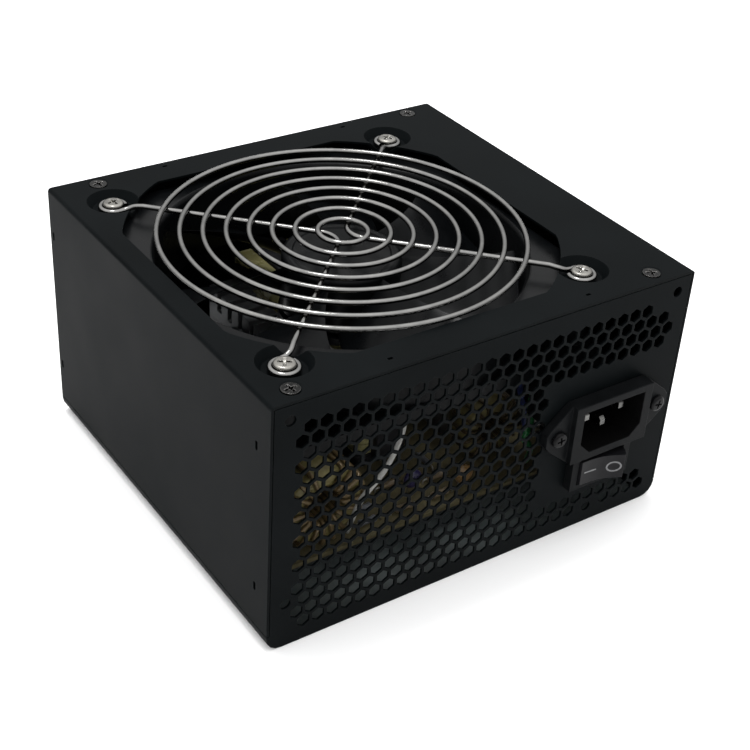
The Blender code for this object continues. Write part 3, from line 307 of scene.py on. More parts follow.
SOLDER = surface("solder", (0.25, 0.25, 0.24), (0.4, 0.4, 0.38), (0.28, 0.42), (0.4, 0.02), patch=1.0,
                 metallic=1.0)


def insulation(name, dark, light):
    return surface(name, dark, light, (0.28, 0.4), (0.6, 0.01), patch=5.0, coat=0.15)


BROWN = insulation("lead_brown", (0.05, 0.02, 0.011), (0.09, 0.038, 0.02))
BLUE = insulation("lead_blue", (0.012, 0.022, 0.09), (0.025, 0.042, 0.15))
GREEN = insulation("lead_green", (0.008, 0.09, 0.022), (0.018, 0.16, 0.045))
WHITE = insulation("lead_white", (0.25, 0.25, 0.24), (0.38, 0.38, 0.355))


# -------- mesh code


def new_mesh(points, faces):
    bm = bmesh.new()
    verts = [bm.verts.new(p) for p in points]
    for face in faces:
        bm.faces.new([verts[i] for i in face])
    bmesh.ops.recalc_face_normals(bm, faces=bm.faces)
    return bm


def moved(bm, at=(0, 0, 0), turn=0.0, axis="Z"):
    """Turns a solid about an axis through the origin by some degrees, then shifts it."""
    bm.transform(Matrix.Translation(at) @ Matrix.Rotation(math.radians(turn), 4, axis))
    return bm


def arc(cx, cy, r, start, end, steps):
    turns = [math.radians(start + (end - start) * k / steps) for k in range(steps + 1)]
    return [(cx + r * math.cos(a), cy + r * math.sin(a)) for a in turns]


def circle(cx, cy, r, sides):
    return arc(cx, cy, r, 0, 360, sides)[:-1]


def round_rectangle(cx, cy, w, h, r, steps=6):
    outline = []
    for sx, sy, start in ((1, 1, 0), (-1, 1, 90), (-1, -1, 180), (1, -1, 270)):
        outline += arc(cx + sx * (w / 2 - r), cy + sy * (h / 2 - r), r, start, start + 90, steps)
    return outline


def place(axis, a, b, level):
    """The point (a, b) of an outline at a level along an axis."""
    return {"X": (level, a, b), "Y": (a, level, b), "Z": (a, b, level)}[axis]


def prism(outline, axis, low, high):
    """An outline drawn out along an axis."""
    count = len(outline)
    points = [place(axis, *p, level) for level in (low, high) for p in outline]
    faces = [tuple(range(count)), tuple(reversed(range(count, 2 * count)))]
    faces += [(k, (k + 1) % count, (k + 1) % count + count, k + count) for k in range(count)]
    return new_mesh(points, faces)


def box(x0, x1, y0, y1, z0, z1):
    return prism([(x0, y0), (x1, y0), (x1, y1), (x0, y1)], "Z", z0, z1)


def lathe(profile, sides, at=(0, 0, 0), axis="Z"):
    """A closed outline of (radius, height) turned round an axis. For axis Y the height runs towards -Y."""
    points, rings = [], []
    for r, h in profile:
        ring = []
        for k in range(sides if r > 0 else 1):
            a = 2 * math.pi * k / sides
            ring.append(len(points))
            points.append((r * math.cos(a), r * math.sin(a), h))
        rings.append(ring)
    faces = []
    for one, two in zip(rings, rings[1:] + rings[:1]):
        for k in range(sides):
            corners = (one[k % len(one)], one[(k + 1) % len(one)], two[(k + 1) % len(two)], two[k % len(two)])
            corners = list(dict.fromkeys(corners))
            if len(corners) > 2:
                faces.append(corners)
    turn, about = {"X": (90, "Y"), "Y": (90, "X"), "Z": (0, "Z")}[axis]
    return moved(new_mesh(points, faces), at, turn, about)


def rod(r, low, high, sides, at=(0, 0, 0), axis="Z"):
    """A plain round bar."""
    return lathe([(0, low), (r, low), (r, high), (0, high)], sides, at, axis)


def smooth_path(points, steps):
    """Points on a Catmull-Rom curve through the given ones."""
    points = [Vector(p) for p in points]
    last, out = len(points) - 1, []
    for k in range(last):
        a, b, c, d = (points[min(max(k + i, 0), last)] for i in (-1, 0, 1, 2))
        for s in range(steps):
            t = s / steps
            even, odd = 2 * a - 5 * b + 4 * c - d, 3 * b - a - 3 * c + d
            out.append(0.5 * (2 * b + (c - a) * t + even * t * t + odd * t**3))
    return [*out, points[-1]]


def tube(path, r, sides=12, closed=False):
    """A wire of round section along a path, with its frame carried along without twist."""
    path = [Vector(p) for p in path]
    count = len(path)
    tangents = []
    for k in range(count):
        before = path[k - 1] if k or closed else path[k]
        after = path[(k + 1) % count] if k < count - 1 or closed else path[k]
        tangents.append((after - before).normalized())
    side = tangents[0].orthogonal().normalized()
    if closed and abs(tangents[0].z) < 0.5:
        side = Vector((0, 0, 1))
    points = []
    for here, along in zip(path, tangents):
        side = (side - along * side.dot(along)).normalized()
        other = along.cross(side)
        for s in range(sides):
            a = 2 * math.pi * s / sides
            points.append(here + side * (r * math.cos(a)) + other * (r * math.sin(a)))
    faces = []
    for k in range(count if closed else count - 1):
        one, two = k * sides, (k + 1) % count * sides
        faces += [(one + s, one + (s + 1) % sides, two + (s + 1) % sides, two + s) for s in range(sides)]
    if not closed:
        faces += [tuple(range(sides)), tuple(reversed(range((count - 1) * sides, count * sides)))]
    return new_mesh(points, faces)


def as_mesh(name, bm):
    mesh = bpy.data.meshes.new(name)
    bm.to_mesh(mesh)
    bm.free()
    return mesh


def new_object(name, data):
    obj = bpy.data.objects.new(name, data)
    bpy.context.scene.collection.objects.link(obj)
    return obj


def merge(*meshes):
    """Several separate solids in one mesh."""
    whole = bmesh.new()
    for bm in meshes:
        mesh = as_mesh("part", bm)
        whole.from_mesh(mesh)
        bpy.data.meshes.remove(mesh)
    return whole


def combine(body, other, operation):
    """The body after one exact Boolean with the other solid."""
    objects = [new_object("work", as_mesh("work", bm)) for bm in (body, other)]
    modifier = objects[0].modifiers.new("boolean", "BOOLEAN")
    modifier.operation, modifier.solver, modifier.object = operation, "EXACT", objects[1]
    graph = bpy.context.evaluated_depsgraph_get()
    result = bpy.data.meshes.new_from_object(objects[0].evaluated_get(graph))
    bm = bmesh.new()
    bm.from_mesh(result)
    for obj in objects:
        bpy.data.objects.remove(obj, do_unlink=True)
    bpy.data.meshes.remove(result)
    return bm


def cut(body, *others):
    return combine(body, merge(*others), "DIFFERENCE")


def join(body, *others):
    for other in others:
        body = combine(body, other, "UNION")
    return body


def piece(name, bm, mat, body="case", replaces=(), bevel=0.0, segments=2, sharp=35, scale=MM, rounds=0):
    """Puts a mesh into the scene, in metres, as one piece of the object, riding on a body.

    bevel, segments: rounding of its corners; sharp: the angle in degrees that makes a corner;
    rounds: levels of subdivision.
    """
    bm.transform(Matrix.Scale(scale, 4))
    bmesh.ops.remove_doubles(bm, verts=bm.verts, dist=2e-7)
    bmesh.ops.dissolve_limit(bm, angle_limit=math.radians(0.4), verts=bm.verts, edges=bm.edges)
    bmesh.ops.delete(bm, geom=[edge for edge in bm.edges if not edge.link_faces], context="EDGES")
    bmesh.ops.recalc_face_normals(bm, faces=bm.faces)
    for face in bm.faces:
        face.smooth = True
    for edge in bm.edges:
        edge.smooth = bool(bevel) or edge.calc_face_angle(0) < math.radians(sharp)
    obj = new_object(name, as_mesh(name, bm))
    obj.data.materials.append(mat)
    if bevel:
        modifier = obj.modifiers.new("bevel", "BEVEL")
        modifier.width, modifier.segments = bevel * MM, segments
        modifier.limit_method, modifier.angle_limit = "ANGLE", math.radians(sharp)
        modifier.use_clamp_overlap = True
        weighted = obj.modifiers.new("weighted_normals", "WEIGHTED_NORMAL")
        weighted.mode, weighted.weight, weighted.keep_sharp = "FACE_AREA", 50, True
    if rounds:
        modifier = obj.modifiers.new("subdivision", "SUBSURF")
        modifier.levels = modifier.render_levels = rounds
    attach(obj, body)
    if replaces:
        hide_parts(*replaces)
    return obj


def refined(node, mat, bevel=0.0, segments=2, sharp=35, rounds=0):
    """A CAD node's own solid with its flat faces made whole and its corners rounded."""
    bm = bmesh.new()
    bm.from_mesh(NODES[node].data)
    bmesh.ops.remove_doubles(bm, verts=bm.verts, dist=1e-6)
    bmesh.ops.dissolve_limit(bm, angle_limit=math.radians(1), verts=bm.verts, edges=bm.edges)
    return piece(f"{node}_shape", bm, mat, "case", (node,), bevel, segments, sharp, 1.0, rounds)


def repaint(node, mat):
    """Gives a carried-over CAD node its finish."""
    data = NODES[node].data
    data.materials.clear()
    data.materials.append(mat)


# -------- case

SHEET = 0.8
FAN_MID = middle("fan_frame")
FAN_HALF_PITCH = 52.5  # from the fan's middle to its screw holes, along X and Y
CORNERS = [(FAN_MID.x + sx * FAN_HALF_PITCH, FAN_MID.y + sy * FAN_HALF_PITCH)
           for sx in (-1, 1) for sy in (-1, 1)]
OPENING_R, OPENING_HALF_X, OPENING_HALF_Y = 67.5, 59.3, 58.3
PAD_DEPTH, PAD_R_TOP, PAD_R, PAD_LIP = 3.2, 8.3, 6.8, 0.7
COVER_BEND = 1.3
GUARD_HOLE_R = 2.4
COVER_HOLE_R, COVER_SEAT_R = 2.3, 3.6
TOP_MARKS = ((-34.8, -65.3), (36.0, -65.3), (-34.7, 67.2), (35.0, 66.6))  # small punched slots, as (x, y)
SIDE_MARKS = ((-62.8, 69.7), (-62.8, 20.3), (67.6, 69.7), (67.6, 20.3))  # the same, as (y, z)


def cover():
    """The folded cover with sunk pads round its fan opening, screw seats and punched slots."""
    low, high = span("top_cover")
    w, h = high.x, high.z
    outer = [(w, low.z)] + arc(w - COVER_BEND, h - COVER_BEND, COVER_BEND, 0, 90, 8)
    inner = [(w - SHEET, low.z)] + arc(w - COVER_BEND, h - COVER_BEND, COVER_BEND - SHEET, 0, 90, 4)
    half = outer + [(-x, z) for x, z in reversed(outer)]
    section = half + [(-x, z) for x, z in inner] + list(reversed(inner))
    shell = prism(section, "Y", low.y, high.y)
    shell = cut(shell, *[rod(PAD_R_TOP, h - 2, h + 1, 56, (x, y, 0)) for x, y in CORNERS])
    pad = h - PAD_DEPTH
    dish = [(0, pad - SHEET), (PAD_R, pad - SHEET), (PAD_R_TOP + 0.1, h - SHEET - 0.5),
            (PAD_R_TOP + PAD_LIP, h - SHEET), (PAD_R_TOP + PAD_LIP, h), (PAD_R_TOP + 0.2, h - 0.02),
            (PAD_R_TOP - 0.25, h - 0.35), (PAD_R - 0.1, pad + 0.45), (PAD_R - PAD_LIP, pad), (0, pad)]
    shell = join(shell, merge(*[lathe(dish, 56, (x, y, 0)) for x, y in CORNERS]))
    rim = []
    for x, y in circle(0, 0, OPENING_R, 180):
        rim.append((FAN_MID.x + max(-OPENING_HALF_X, min(OPENING_HALF_X, x)),
                    FAN_MID.y + max(-OPENING_HALF_Y, min(OPENING_HALF_Y, y))))
    keep = [rod(PAD_R - PAD_LIP, h - 9, h + 5, 56, (x, y, 0)) for x, y in CORNERS]
    shell = cut(shell, cut(prism(rim, "Z", h - 8, h + 4), *keep))
    holes = [rod(GUARD_HOLE_R, h - 8, h + 2, 32, (x, y, 0)) for x, y in CORNERS]
    seat = [(0, h - 2), (COVER_HOLE_R, h - 2), (COVER_HOLE_R, h - 0.9), (COVER_SEAT_R, h + 0.05),
            (COVER_SEAT_R, h + 2), (0, h + 2)]
    for k in range(4):
        at = middle(f"cover_screw_{k + 1}")
        holes.append(lathe(seat, 40, (at.x, at.y, 0)))
    holes += [prism(round_rectangle(x, y, 1.8, 1.0, 0.3, 4), "Z", h - 2, h + 2) for x, y in TOP_MARKS]
    holes += [prism(round_rectangle(y, z, 1.2, 3.0, 0.4, 4), "X", -w - 2, w + 2) for y, z in SIDE_MARKS]
    shell = cut(shell, *holes)
    piece("cover_shell", shell, CASE, replaces=("top_cover",), bevel=0.14, sharp=40)


def case():
    cover()
    refined("base_chassis", CASE, sharp=30)


# -------- screws

HEAD_SUNK = 0.75  # the guard screws bed down inside their loops


def cross_cutter(reach, wide, depth, top):
    """A cross-head recess: four tapered slots that meet in a deeper middle."""
    def outline(a, b):
        corner = [(a, -b), (a, b), (b, b)]
        points = []
        for k in range(4):
            c, s = round(math.cos(k * math.pi / 2)), round(math.sin(k * math.pi / 2))
            points += [(x * c - y * s, x * s + y * c) for x, y in corner]
        return points
    levels = [(1.06, 0.5), (1.0, 0.0), (0.72, -depth * 0.6), (0.3, -depth)]
    points, count = [], 12
    for grow, h in levels:
        points += [(x, y, top + h) for x, y in outline(reach * grow, wide / 2 * min(1.0, grow + 0.2))]
    faces = [tuple(range(count)), tuple(reversed(range(3 * count, 4 * count)))]
    for k in range(3):
        faces += [(k * count + i, k * count + (i + 1) % count, (k + 1) * count + (i + 1) % count,
                   (k + 1) * count + i) for i in range(count)]
    return new_mesh(points, faces)


def shank_profile(r, length):
    return [(0, -length), (r * 0.8, -length), (r, -length + 0.5)]


def pan_profile(r, flat, height, shank, length):
    """Outline of a screw with a low pan head: a nearly flat top that rolls over into the rim."""
    roll = height - flat - 0.1
    edge = [(r - 1.3 * roll + 1.3 * roll * math.cos(a), flat + roll * math.sin(a))
            for a in (math.radians(15 * k) for k in range(7))]
    return [*shank_profile(shank, length), (shank, 0), (r - 0.2, 0), (r, 0.2), *edge, (0, height)]


def flat_profile(r, sink, shank, length):
    """Outline of a countersunk screw."""
    head = [(shank, -sink), (r - 0.1, -0.1), (r, 0.0), (r - 0.15, 0.1), (0, 0.12)]
    return shank_profile(shank, length) + head


def screws():
    """The screws, each with its cross recess turned at random. recess: what cross_cutter takes."""
    wide, flush, small = (2.1, 0.95, 0.95, 1.13), (1.9, 0.85, 1.2, 0.12), (1.5, 0.65, 1.05, 1.42)
    kinds = (
        ("guard_screw", 4, pan_profile(3.3, 0.35, 1.15, 1.8, 9.5), wide, ZINC, "zinc_steel"),
        ("cover_screw", 4, flat_profile(2.8, 1.3, 1.3, 7.0), flush, WORN_SCREW, "black_screw"),
        ("inlet_screw", 2, pan_profile(2.7, 0.6, 1.5, 1.35, 8.0), small, BLACK_SCREW, "black_screw"),
        ("board_screw", 4, pan_profile(2.7, 0.6, 1.5, 1.2, 5.0), small, ZINC, "zinc_steel"),
    )
    for kind, count, profile, recess, mat, slot in kinds:
        for k in range(count):
            node = f"{kind}_{k + 1}"
            low, high = span(node)
            at = (low + high) / 2
            head = cut(lathe(profile, 40), cross_cutter(*recess))
            moved(head, turn=math.degrees(rng.uniform(0, math.pi)))
            top = profile[-1][1]
            if kind == "inlet_screw":
                moved(head, (at.x, low.y + top, at.z), 90, "X")
            else:
                sunk = HEAD_SUNK if kind == "guard_screw" else 0.0
                moved(head, (at.x, at.y, high.z - top - sunk))
            piece(f"{node}_head", head, mat, replaces=(node,), sharp=32)


# -------- guard

RINGS, RING_FIRST_R, RING_STEP, WIRE_R = 8, 7.8, 7.05, 0.88
LOOP_R, ELBOW_R = 4.0, 7.0
SPOKE_DROP = 1.5  # of the spokes' middle line below the rings'


def guard():
    """Rings on two bent wires, each making two spokes, with a screw loop at either end."""
    low, high = span("fan_guard")
    ring_z, loop_z = high.z - WIRE_R, low.z + WIRE_R
    spoke_z = ring_z - SPOKE_DROP
    rings = []
    for k in range(RINGS):
        ring = circle(FAN_MID.x, FAN_MID.y, RING_FIRST_R + RING_STEP * k, 48 + 12 * k)
        rings.append(tube([(x, y, ring_z) for x, y in ring], WIRE_R, closed=True))
    spokes = []
    for hand in (-1, 1):
        reach = FAN_HALF_PITCH * math.sqrt(2)
        half = [(x, y, loop_z) for x, y in arc(0, 0, LOOP_R, -155, 138, 26)]
        half += smooth_path([(*arc(0, 0, LOOP_R, 148, 148, 1)[0], loop_z),
                             (-LOOP_R - 0.9, 0.9, loop_z + 0.25), (-LOOP_R - 3.0, 0.0, loop_z + 1.0),
                             (-LOOP_R - 6.0, 0.0, spoke_z)], 5)
        half += [(-LOOP_R - 9.0, 0, spoke_z)]
        turn, path = math.radians(135), []
        for x, y, z in half:
            along, c, s = x + reach, math.cos(turn), math.sin(turn)
            path.append((along * c - y * s, along * s + y * c, z))
        elbow = [(x, y, spoke_z) for x, y in arc(-ELBOW_R * math.sqrt(2), 0, ELBOW_R, 45, -45, 14)]
        path += elbow + [(x, -y, z) for x, y, z in reversed(path)]
        spokes.append(tube([(FAN_MID.x - hand * x, FAN_MID.y + y, z) for x, y, z in path], WIRE_R))
    piece("guard_wires", merge(*rings, *spokes), CHROME, replaces=("fan_guard",), sharp=50)


# -------- fan

DUCT_R, DUCT_WALL, FLANGE, HUB_R, HUB_WALL, HUB_ROUND = 57.6, 1.9, 4.0, 19.0, 1.4, 2.2
BLADES, BLADE_TIP_R, BLADE_THICK = 7, 56.2, 1.3
FAN_CORNER_R, FAN_POST_R, FAN_BORE_R = 5.0, 3.9, 2.2
FIRST_ARM = 22  # its direction, in degrees


def fan_frame():
    """A square housing with flanges, a flared duct, screw posts and a motor seat on four arms."""
    low, high = span("fan_frame")
    top, bottom, at = high.z, low.z, (FAN_MID.x, FAN_MID.y, 0)
    side = high.x - low.x
    body = prism(round_rectangle(FAN_MID.x, FAN_MID.y, side, side, FAN_CORNER_R, 8), "Z", bottom, top)
    around = round_rectangle(FAN_MID.x, FAN_MID.y, side + 8, side + 8, FAN_CORNER_R, 4)
    posts = [rod(FAN_POST_R, bottom, top, 24, (x, y, 0)) for x, y in CORNERS]
    relief = cut(prism(around, "Z", bottom + FLANGE, top - FLANGE),
                 rod(DUCT_R + DUCT_WALL, bottom, top, 128, at), *posts)
    body = cut(body, relief)
    duct = lathe([(0, bottom - 1), (DUCT_R + 0.5, bottom - 1), (DUCT_R + 0.5, bottom + 0.1),
                  (DUCT_R, bottom + 1.6), (DUCT_R, top - 3.2), (DUCT_R + 0.35, top - 1.4),
                  (DUCT_R + 1.0, top - 0.4), (DUCT_R + 1.7, top + 0.05), (DUCT_R + 1.7, top + 1),
                  (0, top + 1)], 128, at)
    holes = [rod(FAN_BORE_R, bottom - 1, top + 1, 24, (x, y, 0)) for x, y in CORNERS]
    body = cut(body, duct, *holes)
    seat = lathe([(0, bottom + 0.2), (HUB_R - 0.2, bottom + 0.2), (HUB_R + 0.6, bottom + 1.0),
                  (HUB_R + 0.6, bottom + 3.2), (0, bottom + 3.2)], 64, at)
    section = [(-1.9, 0.6), (-1.1, 0.4), (1.1, 0.4), (1.9, 0.6), (1.9, 2.3), (1.2, 2.8), (-1.2, 2.8),
               (-1.9, 2.3)]
    arms = []
    for k in range(4):
        arm = prism(section, "X", HUB_R - 2, DUCT_R + 0.9)
        arms.append(moved(arm, (FAN_MID.x, FAN_MID.y, bottom), FIRST_ARM + 90 * k))
    body = join(body, seat, *arms)
    piece("fan_housing", body, FAN, replaces=("fan_frame",), bevel=0.3, sharp=40)


def blade(number, low, high):
    """A swept, twisted blade of aerofoil section, rooted in the hub wall."""
    rows, chord = 18, 22
    radii = [HUB_R - 0.8 + (BLADE_TIP_R - HUB_R + 0.8) * k / rows for k in range(rows + 1)]
    points = []
    for k, r in enumerate(radii):
        t = k / rows
        sweep = math.radians(12) * t**1.4
        width = math.radians(43 - 8 * t)
        rise = (high - low) * (1 - 0.18 * t)
        loop = [(c / chord, 1) for c in range(chord + 1)] + [(c / chord, -1) for c in range(chord - 1, 0, -1)]
        for s, face in loop:
            a = sweep + (s - 0.5) * width
            z = low + 1.2 * t + rise * s - 1.6 * math.sin(math.pi * s)
            tilt = math.atan2(rise, width * r)
            thick = BLADE_THICK / 2 * face * (0.25 + 0.75 * math.sin(math.pi * s) ** 0.5) * (1 - 0.25 * t)
            if s in (0, 1):
                thick = 0.0
            slip = thick * math.sin(tilt) / r
            points.append((r * math.cos(a - slip), r * math.sin(a - slip), z + thick * math.cos(tilt)))
    ring = 2 * chord
    faces = [(k * ring + i, k * ring + (i + 1) % ring, (k + 1) * ring + (i + 1) % ring, (k + 1) * ring + i)
             for k in range(rows) for i in range(ring)]
    for first in (0, rows * ring):
        faces += [(first + i, first + i + 1, first + (ring - i - 1) % ring, first + (ring - i) % ring)
                  for i in range(1, chord - 1)]
        faces += [(first, first + 1, first + ring - 1), (first + chord - 1, first + chord, first + chord + 1)]
    return moved(new_mesh(points, faces), (FAN_MID.x, FAN_MID.y, 0), 360 * number / BLADES)


def rotor():
    """The bladed rotor on its own body, and the finishes of the motor in its hub."""
    low, high = span("fan_rotor")
    top, bottom, inside = high.z, low.z, HUB_R - HUB_WALL
    cap = [(0, top - 0.5), (15.2, top - 0.5), (15.6, top - 0.1)]
    cap += arc(HUB_R - HUB_ROUND, top - HUB_ROUND, HUB_ROUND, 90, 0, 5)
    cap += [(HUB_R, bottom + 0.3), (HUB_R - 0.3, bottom), (inside, bottom), (inside, top - HUB_WALL)]
    hub = lathe([*cap, (0, top - HUB_WALL)], 84, (FAN_MID.x, FAN_MID.y, 0))
    blades = [blade(k, bottom + 0.6, top - 1.6) for k in range(BLADES)]
    piece("rotor_blades", merge(hub, *blades), FAN, "fan_rotor_body", ("fan_rotor",), sharp=38)
    for node, mat in (("fan_magnet_ring", FERRITE), ("fan_shaft", BRIGHT), ("fan_bearing", BRONZE),
                      ("fan_stator", COPPER), ("fan_circuit_board", MOTOR_BOARD)):
        repaint(node, mat)


# -------- inlet and switch

ROCKER_R, ROCKER_HALF_H, ROCKER_END = 8.9, 4.4, 7.6
ROCKER_TILT = 13.5  # in degrees
AXLE_R, AXLE_HALF = 1.15, 5.0
MOUTH_W, MOUTH_H = 24.2, 15.6
MARK_LINE = (-4.1, 4.6, 0.5)  # place, length and width
MARK_RING = (4.3, 5.2, 4.0, 0.55)  # place, width, height and stroke


def rocker_out(x):
    """Height of the rocker's hollow face above its pivot."""
    return 3.35 + 1.25 * (abs(x) / ROCKER_END) ** 1.7


def rocker_place(bm):
    """Moves a solid drawn about the rocker's pivot to its place at rest."""
    return moved(bm, Vector(JOINTS["rocker_tilt"]["pos_m"]) / MM, -ROCKER_TILT)


def mark_strip(loops):
    """A thin inlay on the rocker's face between two outlines of (x, z)."""
    points, faces, count = [], [], len(loops[0])
    for lift in (0.05, -0.12):
        for loop in loops:
            points += [(x, -rocker_out(x) - lift, z) for x, z in loop]
    for k in range(count):
        n = (k + 1) % count
        a, b, c, d = k, n, count + n, count + k
        faces += [(a, b, c, d), (2 * count + d, 2 * count + c, 2 * count + b, 2 * count + a),
                  (a, 2 * count + a, 2 * count + b, b), (d, c, 2 * count + c, 2 * count + d)]
    return new_mesh(points, faces)


def switch():
    """The rocker and its two marks on their own body, in the fixed housing."""
    refined("switch_housing", SOCKET, 0.3)
    face = [(x, rocker_out(x)) for x in (ROCKER_END * k / 10 for k in range(-10, 11))]
    lower = math.degrees(math.asin(4.6 / ROCKER_R))
    side = arc(0, 0, ROCKER_R, lower, -15, 8)[1:]
    profile = face + side + [(3.0, -3.3), (-3.0, -3.3)] + [(-x, o) for x, o in reversed(side)]
    body = prism([(x, -o) for x, o in profile], "Z", -ROCKER_HALF_H, ROCKER_HALF_H)
    lever = rocker_place(join(body, rod(AXLE_R, -AXLE_HALF, AXLE_HALF, 24)))
    piece("rocker_lever", lever, ROCKER, "rocker_body", ("rocker",), 0.28, 3, 30)
    x, long, wide = MARK_LINE
    points = round_rectangle(x, 0, long, wide, wide * 0.45, 5)
    strip = mark_strip([points, [(x + (px - x) * 0.02, pz * 0.02) for px, pz in points]])
    piece("rocker_mark_on", rocker_place(strip), MARK, "rocker_body")
    x, w, h, stroke = MARK_RING
    turns = [2 * math.pi * k / 48 for k in range(48)]
    ring = [[(x + (w / 2 - d) * math.cos(a), (h / 2 - d) * math.sin(a)) for a in turns] for d in (0, stroke)]
    piece("rocker_mark_off", rocker_place(mark_strip(ring)), MARK, "rocker_body")
    for node in ("switch_terminal_line", "switch_terminal_load"):
        refined(node, BRIGHT, 0.1)


def inlet():
    """The inlet with painted shade, a darker colour, on the faces inside its mouth, and its three pins."""
    body = refined("inlet_body", SOCKET, 0.35, segments=3)
    body.data.materials.append(SOCKET_MOUTH_SHADE)
    low, high = span("inlet_body")
    mid = (low + high) / 2
    # The faces inside the mouth take the painted shade.
    for face in body.data.polygons:
        at = face.center / MM - mid
        if abs(at.x) < MOUTH_W / 2 + 0.1 and abs(at.z) < MOUTH_H / 2 + 0.1 and at.y + mid.y > low.y + 0.5:
            face.material_index = 1
    for name in ("live", "neutral", "earth"):
        # The pins wear the darkened nickel, painted shade for the mouth's shadow.
        refined(f"inlet_pin_{name}", PIN_NICKEL_SHADED, 0.25)


# -------- inside

STRIPE = (215, 262)  # directions in degrees between which a can's stripe lies
GAP_AT, GAP_HALF, TURN_LEAN = 90, 22, 0.05  # open part of a toroid's winding, and the lean of its turns
CLAMP_DROP = 4.6  # of a power device's clamp screw below its top
RESISTOR_R, DISC_R, LEAD_R = 1.15, 3.4, 0.3


def can(node):
    """A sleeved electrolytic can with a pale stripe, a rolled groove and a scored metal top."""
    low, high = span(node)
    mid, r = (low + high) / 2, (high.x - low.x) / 2
    z0, z1 = low.z, high.z
    bend = min(1.2, r * 0.18)
    rolled = [(r, z0 + 0.5), (r, z0 + 1.6), (r - 0.45, z0 + 2.3), (r - 0.55, z0 + 2.8), (r - 0.4, z0 + 3.3),
              (r, z0 + 4.0)]
    turns = [math.radians(a) for a in (0, 22, 45, 67, 90)]
    top = [(r - bend + bend * math.cos(a), z1 - bend + bend * math.sin(a)) for a in turns]
    rim = r - bend - 0.5
    profile = [(0, z0), (r - 0.5, z0), *rolled, *top, (rim, z1), (rim, z1 - 0.5), (0, z1 - 0.5)]
    sleeve = lathe(profile, 48, (mid.x, mid.y, 0))
    obj = piece(f"{node}_sleeve", sleeve, SLEEVE, replaces=(node,), sharp=50)
    obj.data.materials.append(SLEEVE_LINE)
    for face in obj.data.polygons:
        c = face.center / MM
        angle = math.degrees(math.atan2(c.y - mid.y, c.x - mid.x)) % 360
        if STRIPE[0] < angle < STRIPE[1] and abs(face.normal.z) < 0.6:
            face.material_index = 1
    cap_r = r - bend - 0.55
    plate = [(0, z1 - 0.45), (cap_r, z1 - 0.45), (cap_r, z1 - 0.2), (cap_r - 0.3, z1 - 0.08), (0, z1 - 0.08)]
    cap, long = lathe(plate, 48, (mid.x, mid.y, 0)), cap_r * 0.72
    score = [moved(box(-long, long, -0.16, 0.16, z1 - 0.24, z1 + 1), (mid.x, mid.y, 0), turn)
             for turn in (20, 110)]
    piece(f"{node}_top", cut(cap, join(*score)), ALUMINIUM)


def toroid(node, core_mat, wire_mat, turns, wire_r):
    """A ring core on edge, its winding laid turn by turn with one open gap."""
    low, high = span(node)
    mid = (low + high) / 2
    r_out, half = (high.x - low.x) / 2 - 2 * wire_r - 0.1, (high.y - low.y) / 2 - 2 * wire_r - 0.1
    r_in = r_out * 0.52
    core = [(r_in, -half + 0.6), (r_in + 0.6, -half), (r_out - 0.6, -half), (r_out, -half + 0.6),
            (r_out, half - 0.6), (r_out - 0.6, half), (r_in + 0.6, half), (r_in, half - 0.6)]
    piece(f"{node}_core", lathe(core, 64, mid, "Y"), core_mat, replaces=(node,), sharp=50)
    inset = wire_r * 0.92
    section = round_rectangle((r_in + r_out) / 2, 0, r_out - r_in + 2 * inset, 2 * (half + inset), 1.3, 3)
    loops = []
    for k in range(turns):
        a = math.radians(GAP_AT + GAP_HALF + (360 - 2 * GAP_HALF) * k / (turns - 1))
        path = []
        for radius, depth in section:
            b = a + TURN_LEAN * depth / (2 * half)
            path.append(mid + Vector((radius * math.cos(b), depth, radius * math.sin(b))))
        loops.append(tube(path, wire_r * rng.uniform(0.93, 1.0), 8, closed=True))
    piece(f"{node}_turns", merge(*loops), wire_mat, sharp=60)


def transformer(node, share):
    """A ferrite core through a taped winding on a flanged former. share: how much of the depth is wound."""
    low, high = span(node)
    mid = (low + high) / 2
    w, d, z0, z1 = high.x - low.x, high.y - low.y, low.z, high.z
    half = w * 0.22
    y0, y1 = mid.y - d / 2, mid.y + d / 2
    core = prism([(y0, z0 + 3.5), (y1, z0 + 3.5), (y1, z1), (y0, z1)], "X", mid.x - half, mid.x + half)
    windows = [box(mid.x - w, mid.x + w, mid.y + a * d, mid.y + b * d, z0 + 8.0, z1 - 5.5)
               for a, b in ((-0.345, -0.14), (0.14, 0.345))]
    core = cut(core, *windows)
    piece(f"{node}_core", core, FERRITE, replaces=(node,), bevel=0.5, segments=3, sharp=40)
    foot = prism(round_rectangle(mid.x, mid.y, w * 0.96, d * 0.66, 1.0, 4), "Z", z0 + 0.5, z0 + 3.4)
    flange = prism(round_rectangle(mid.x, mid.y, w, d * 0.68, 2.2, 6), "Z", z0 + 3.5, z0 + 4.9)
    piece(f"{node}_former", merge(foot, flange), RESIN, bevel=0.25, sharp=40)
    winding = prism(round_rectangle(mid.x, mid.y, w - 0.6, d * share, 3.4, 8), "Z", z0 + 5.0, z1 - 0.9)
    notch = box(mid.x - half - 0.15, mid.x + half + 0.15, mid.y - d, mid.y + d, z1 - 5.6, z1 + 1)
    piece(f"{node}_winding", cut(winding, notch), TAPE, bevel=0.5, sharp=50)
    pins = [rod(0.45, z0, z0 + 0.6, 12, (mid.x + (k - 2) * w * 0.18, mid.y + side * d * 0.3, 0))
            for side in (-1, 1) for k in range(5)]
    piece(f"{node}_pins", merge(*pins), SOLDER, sharp=40)


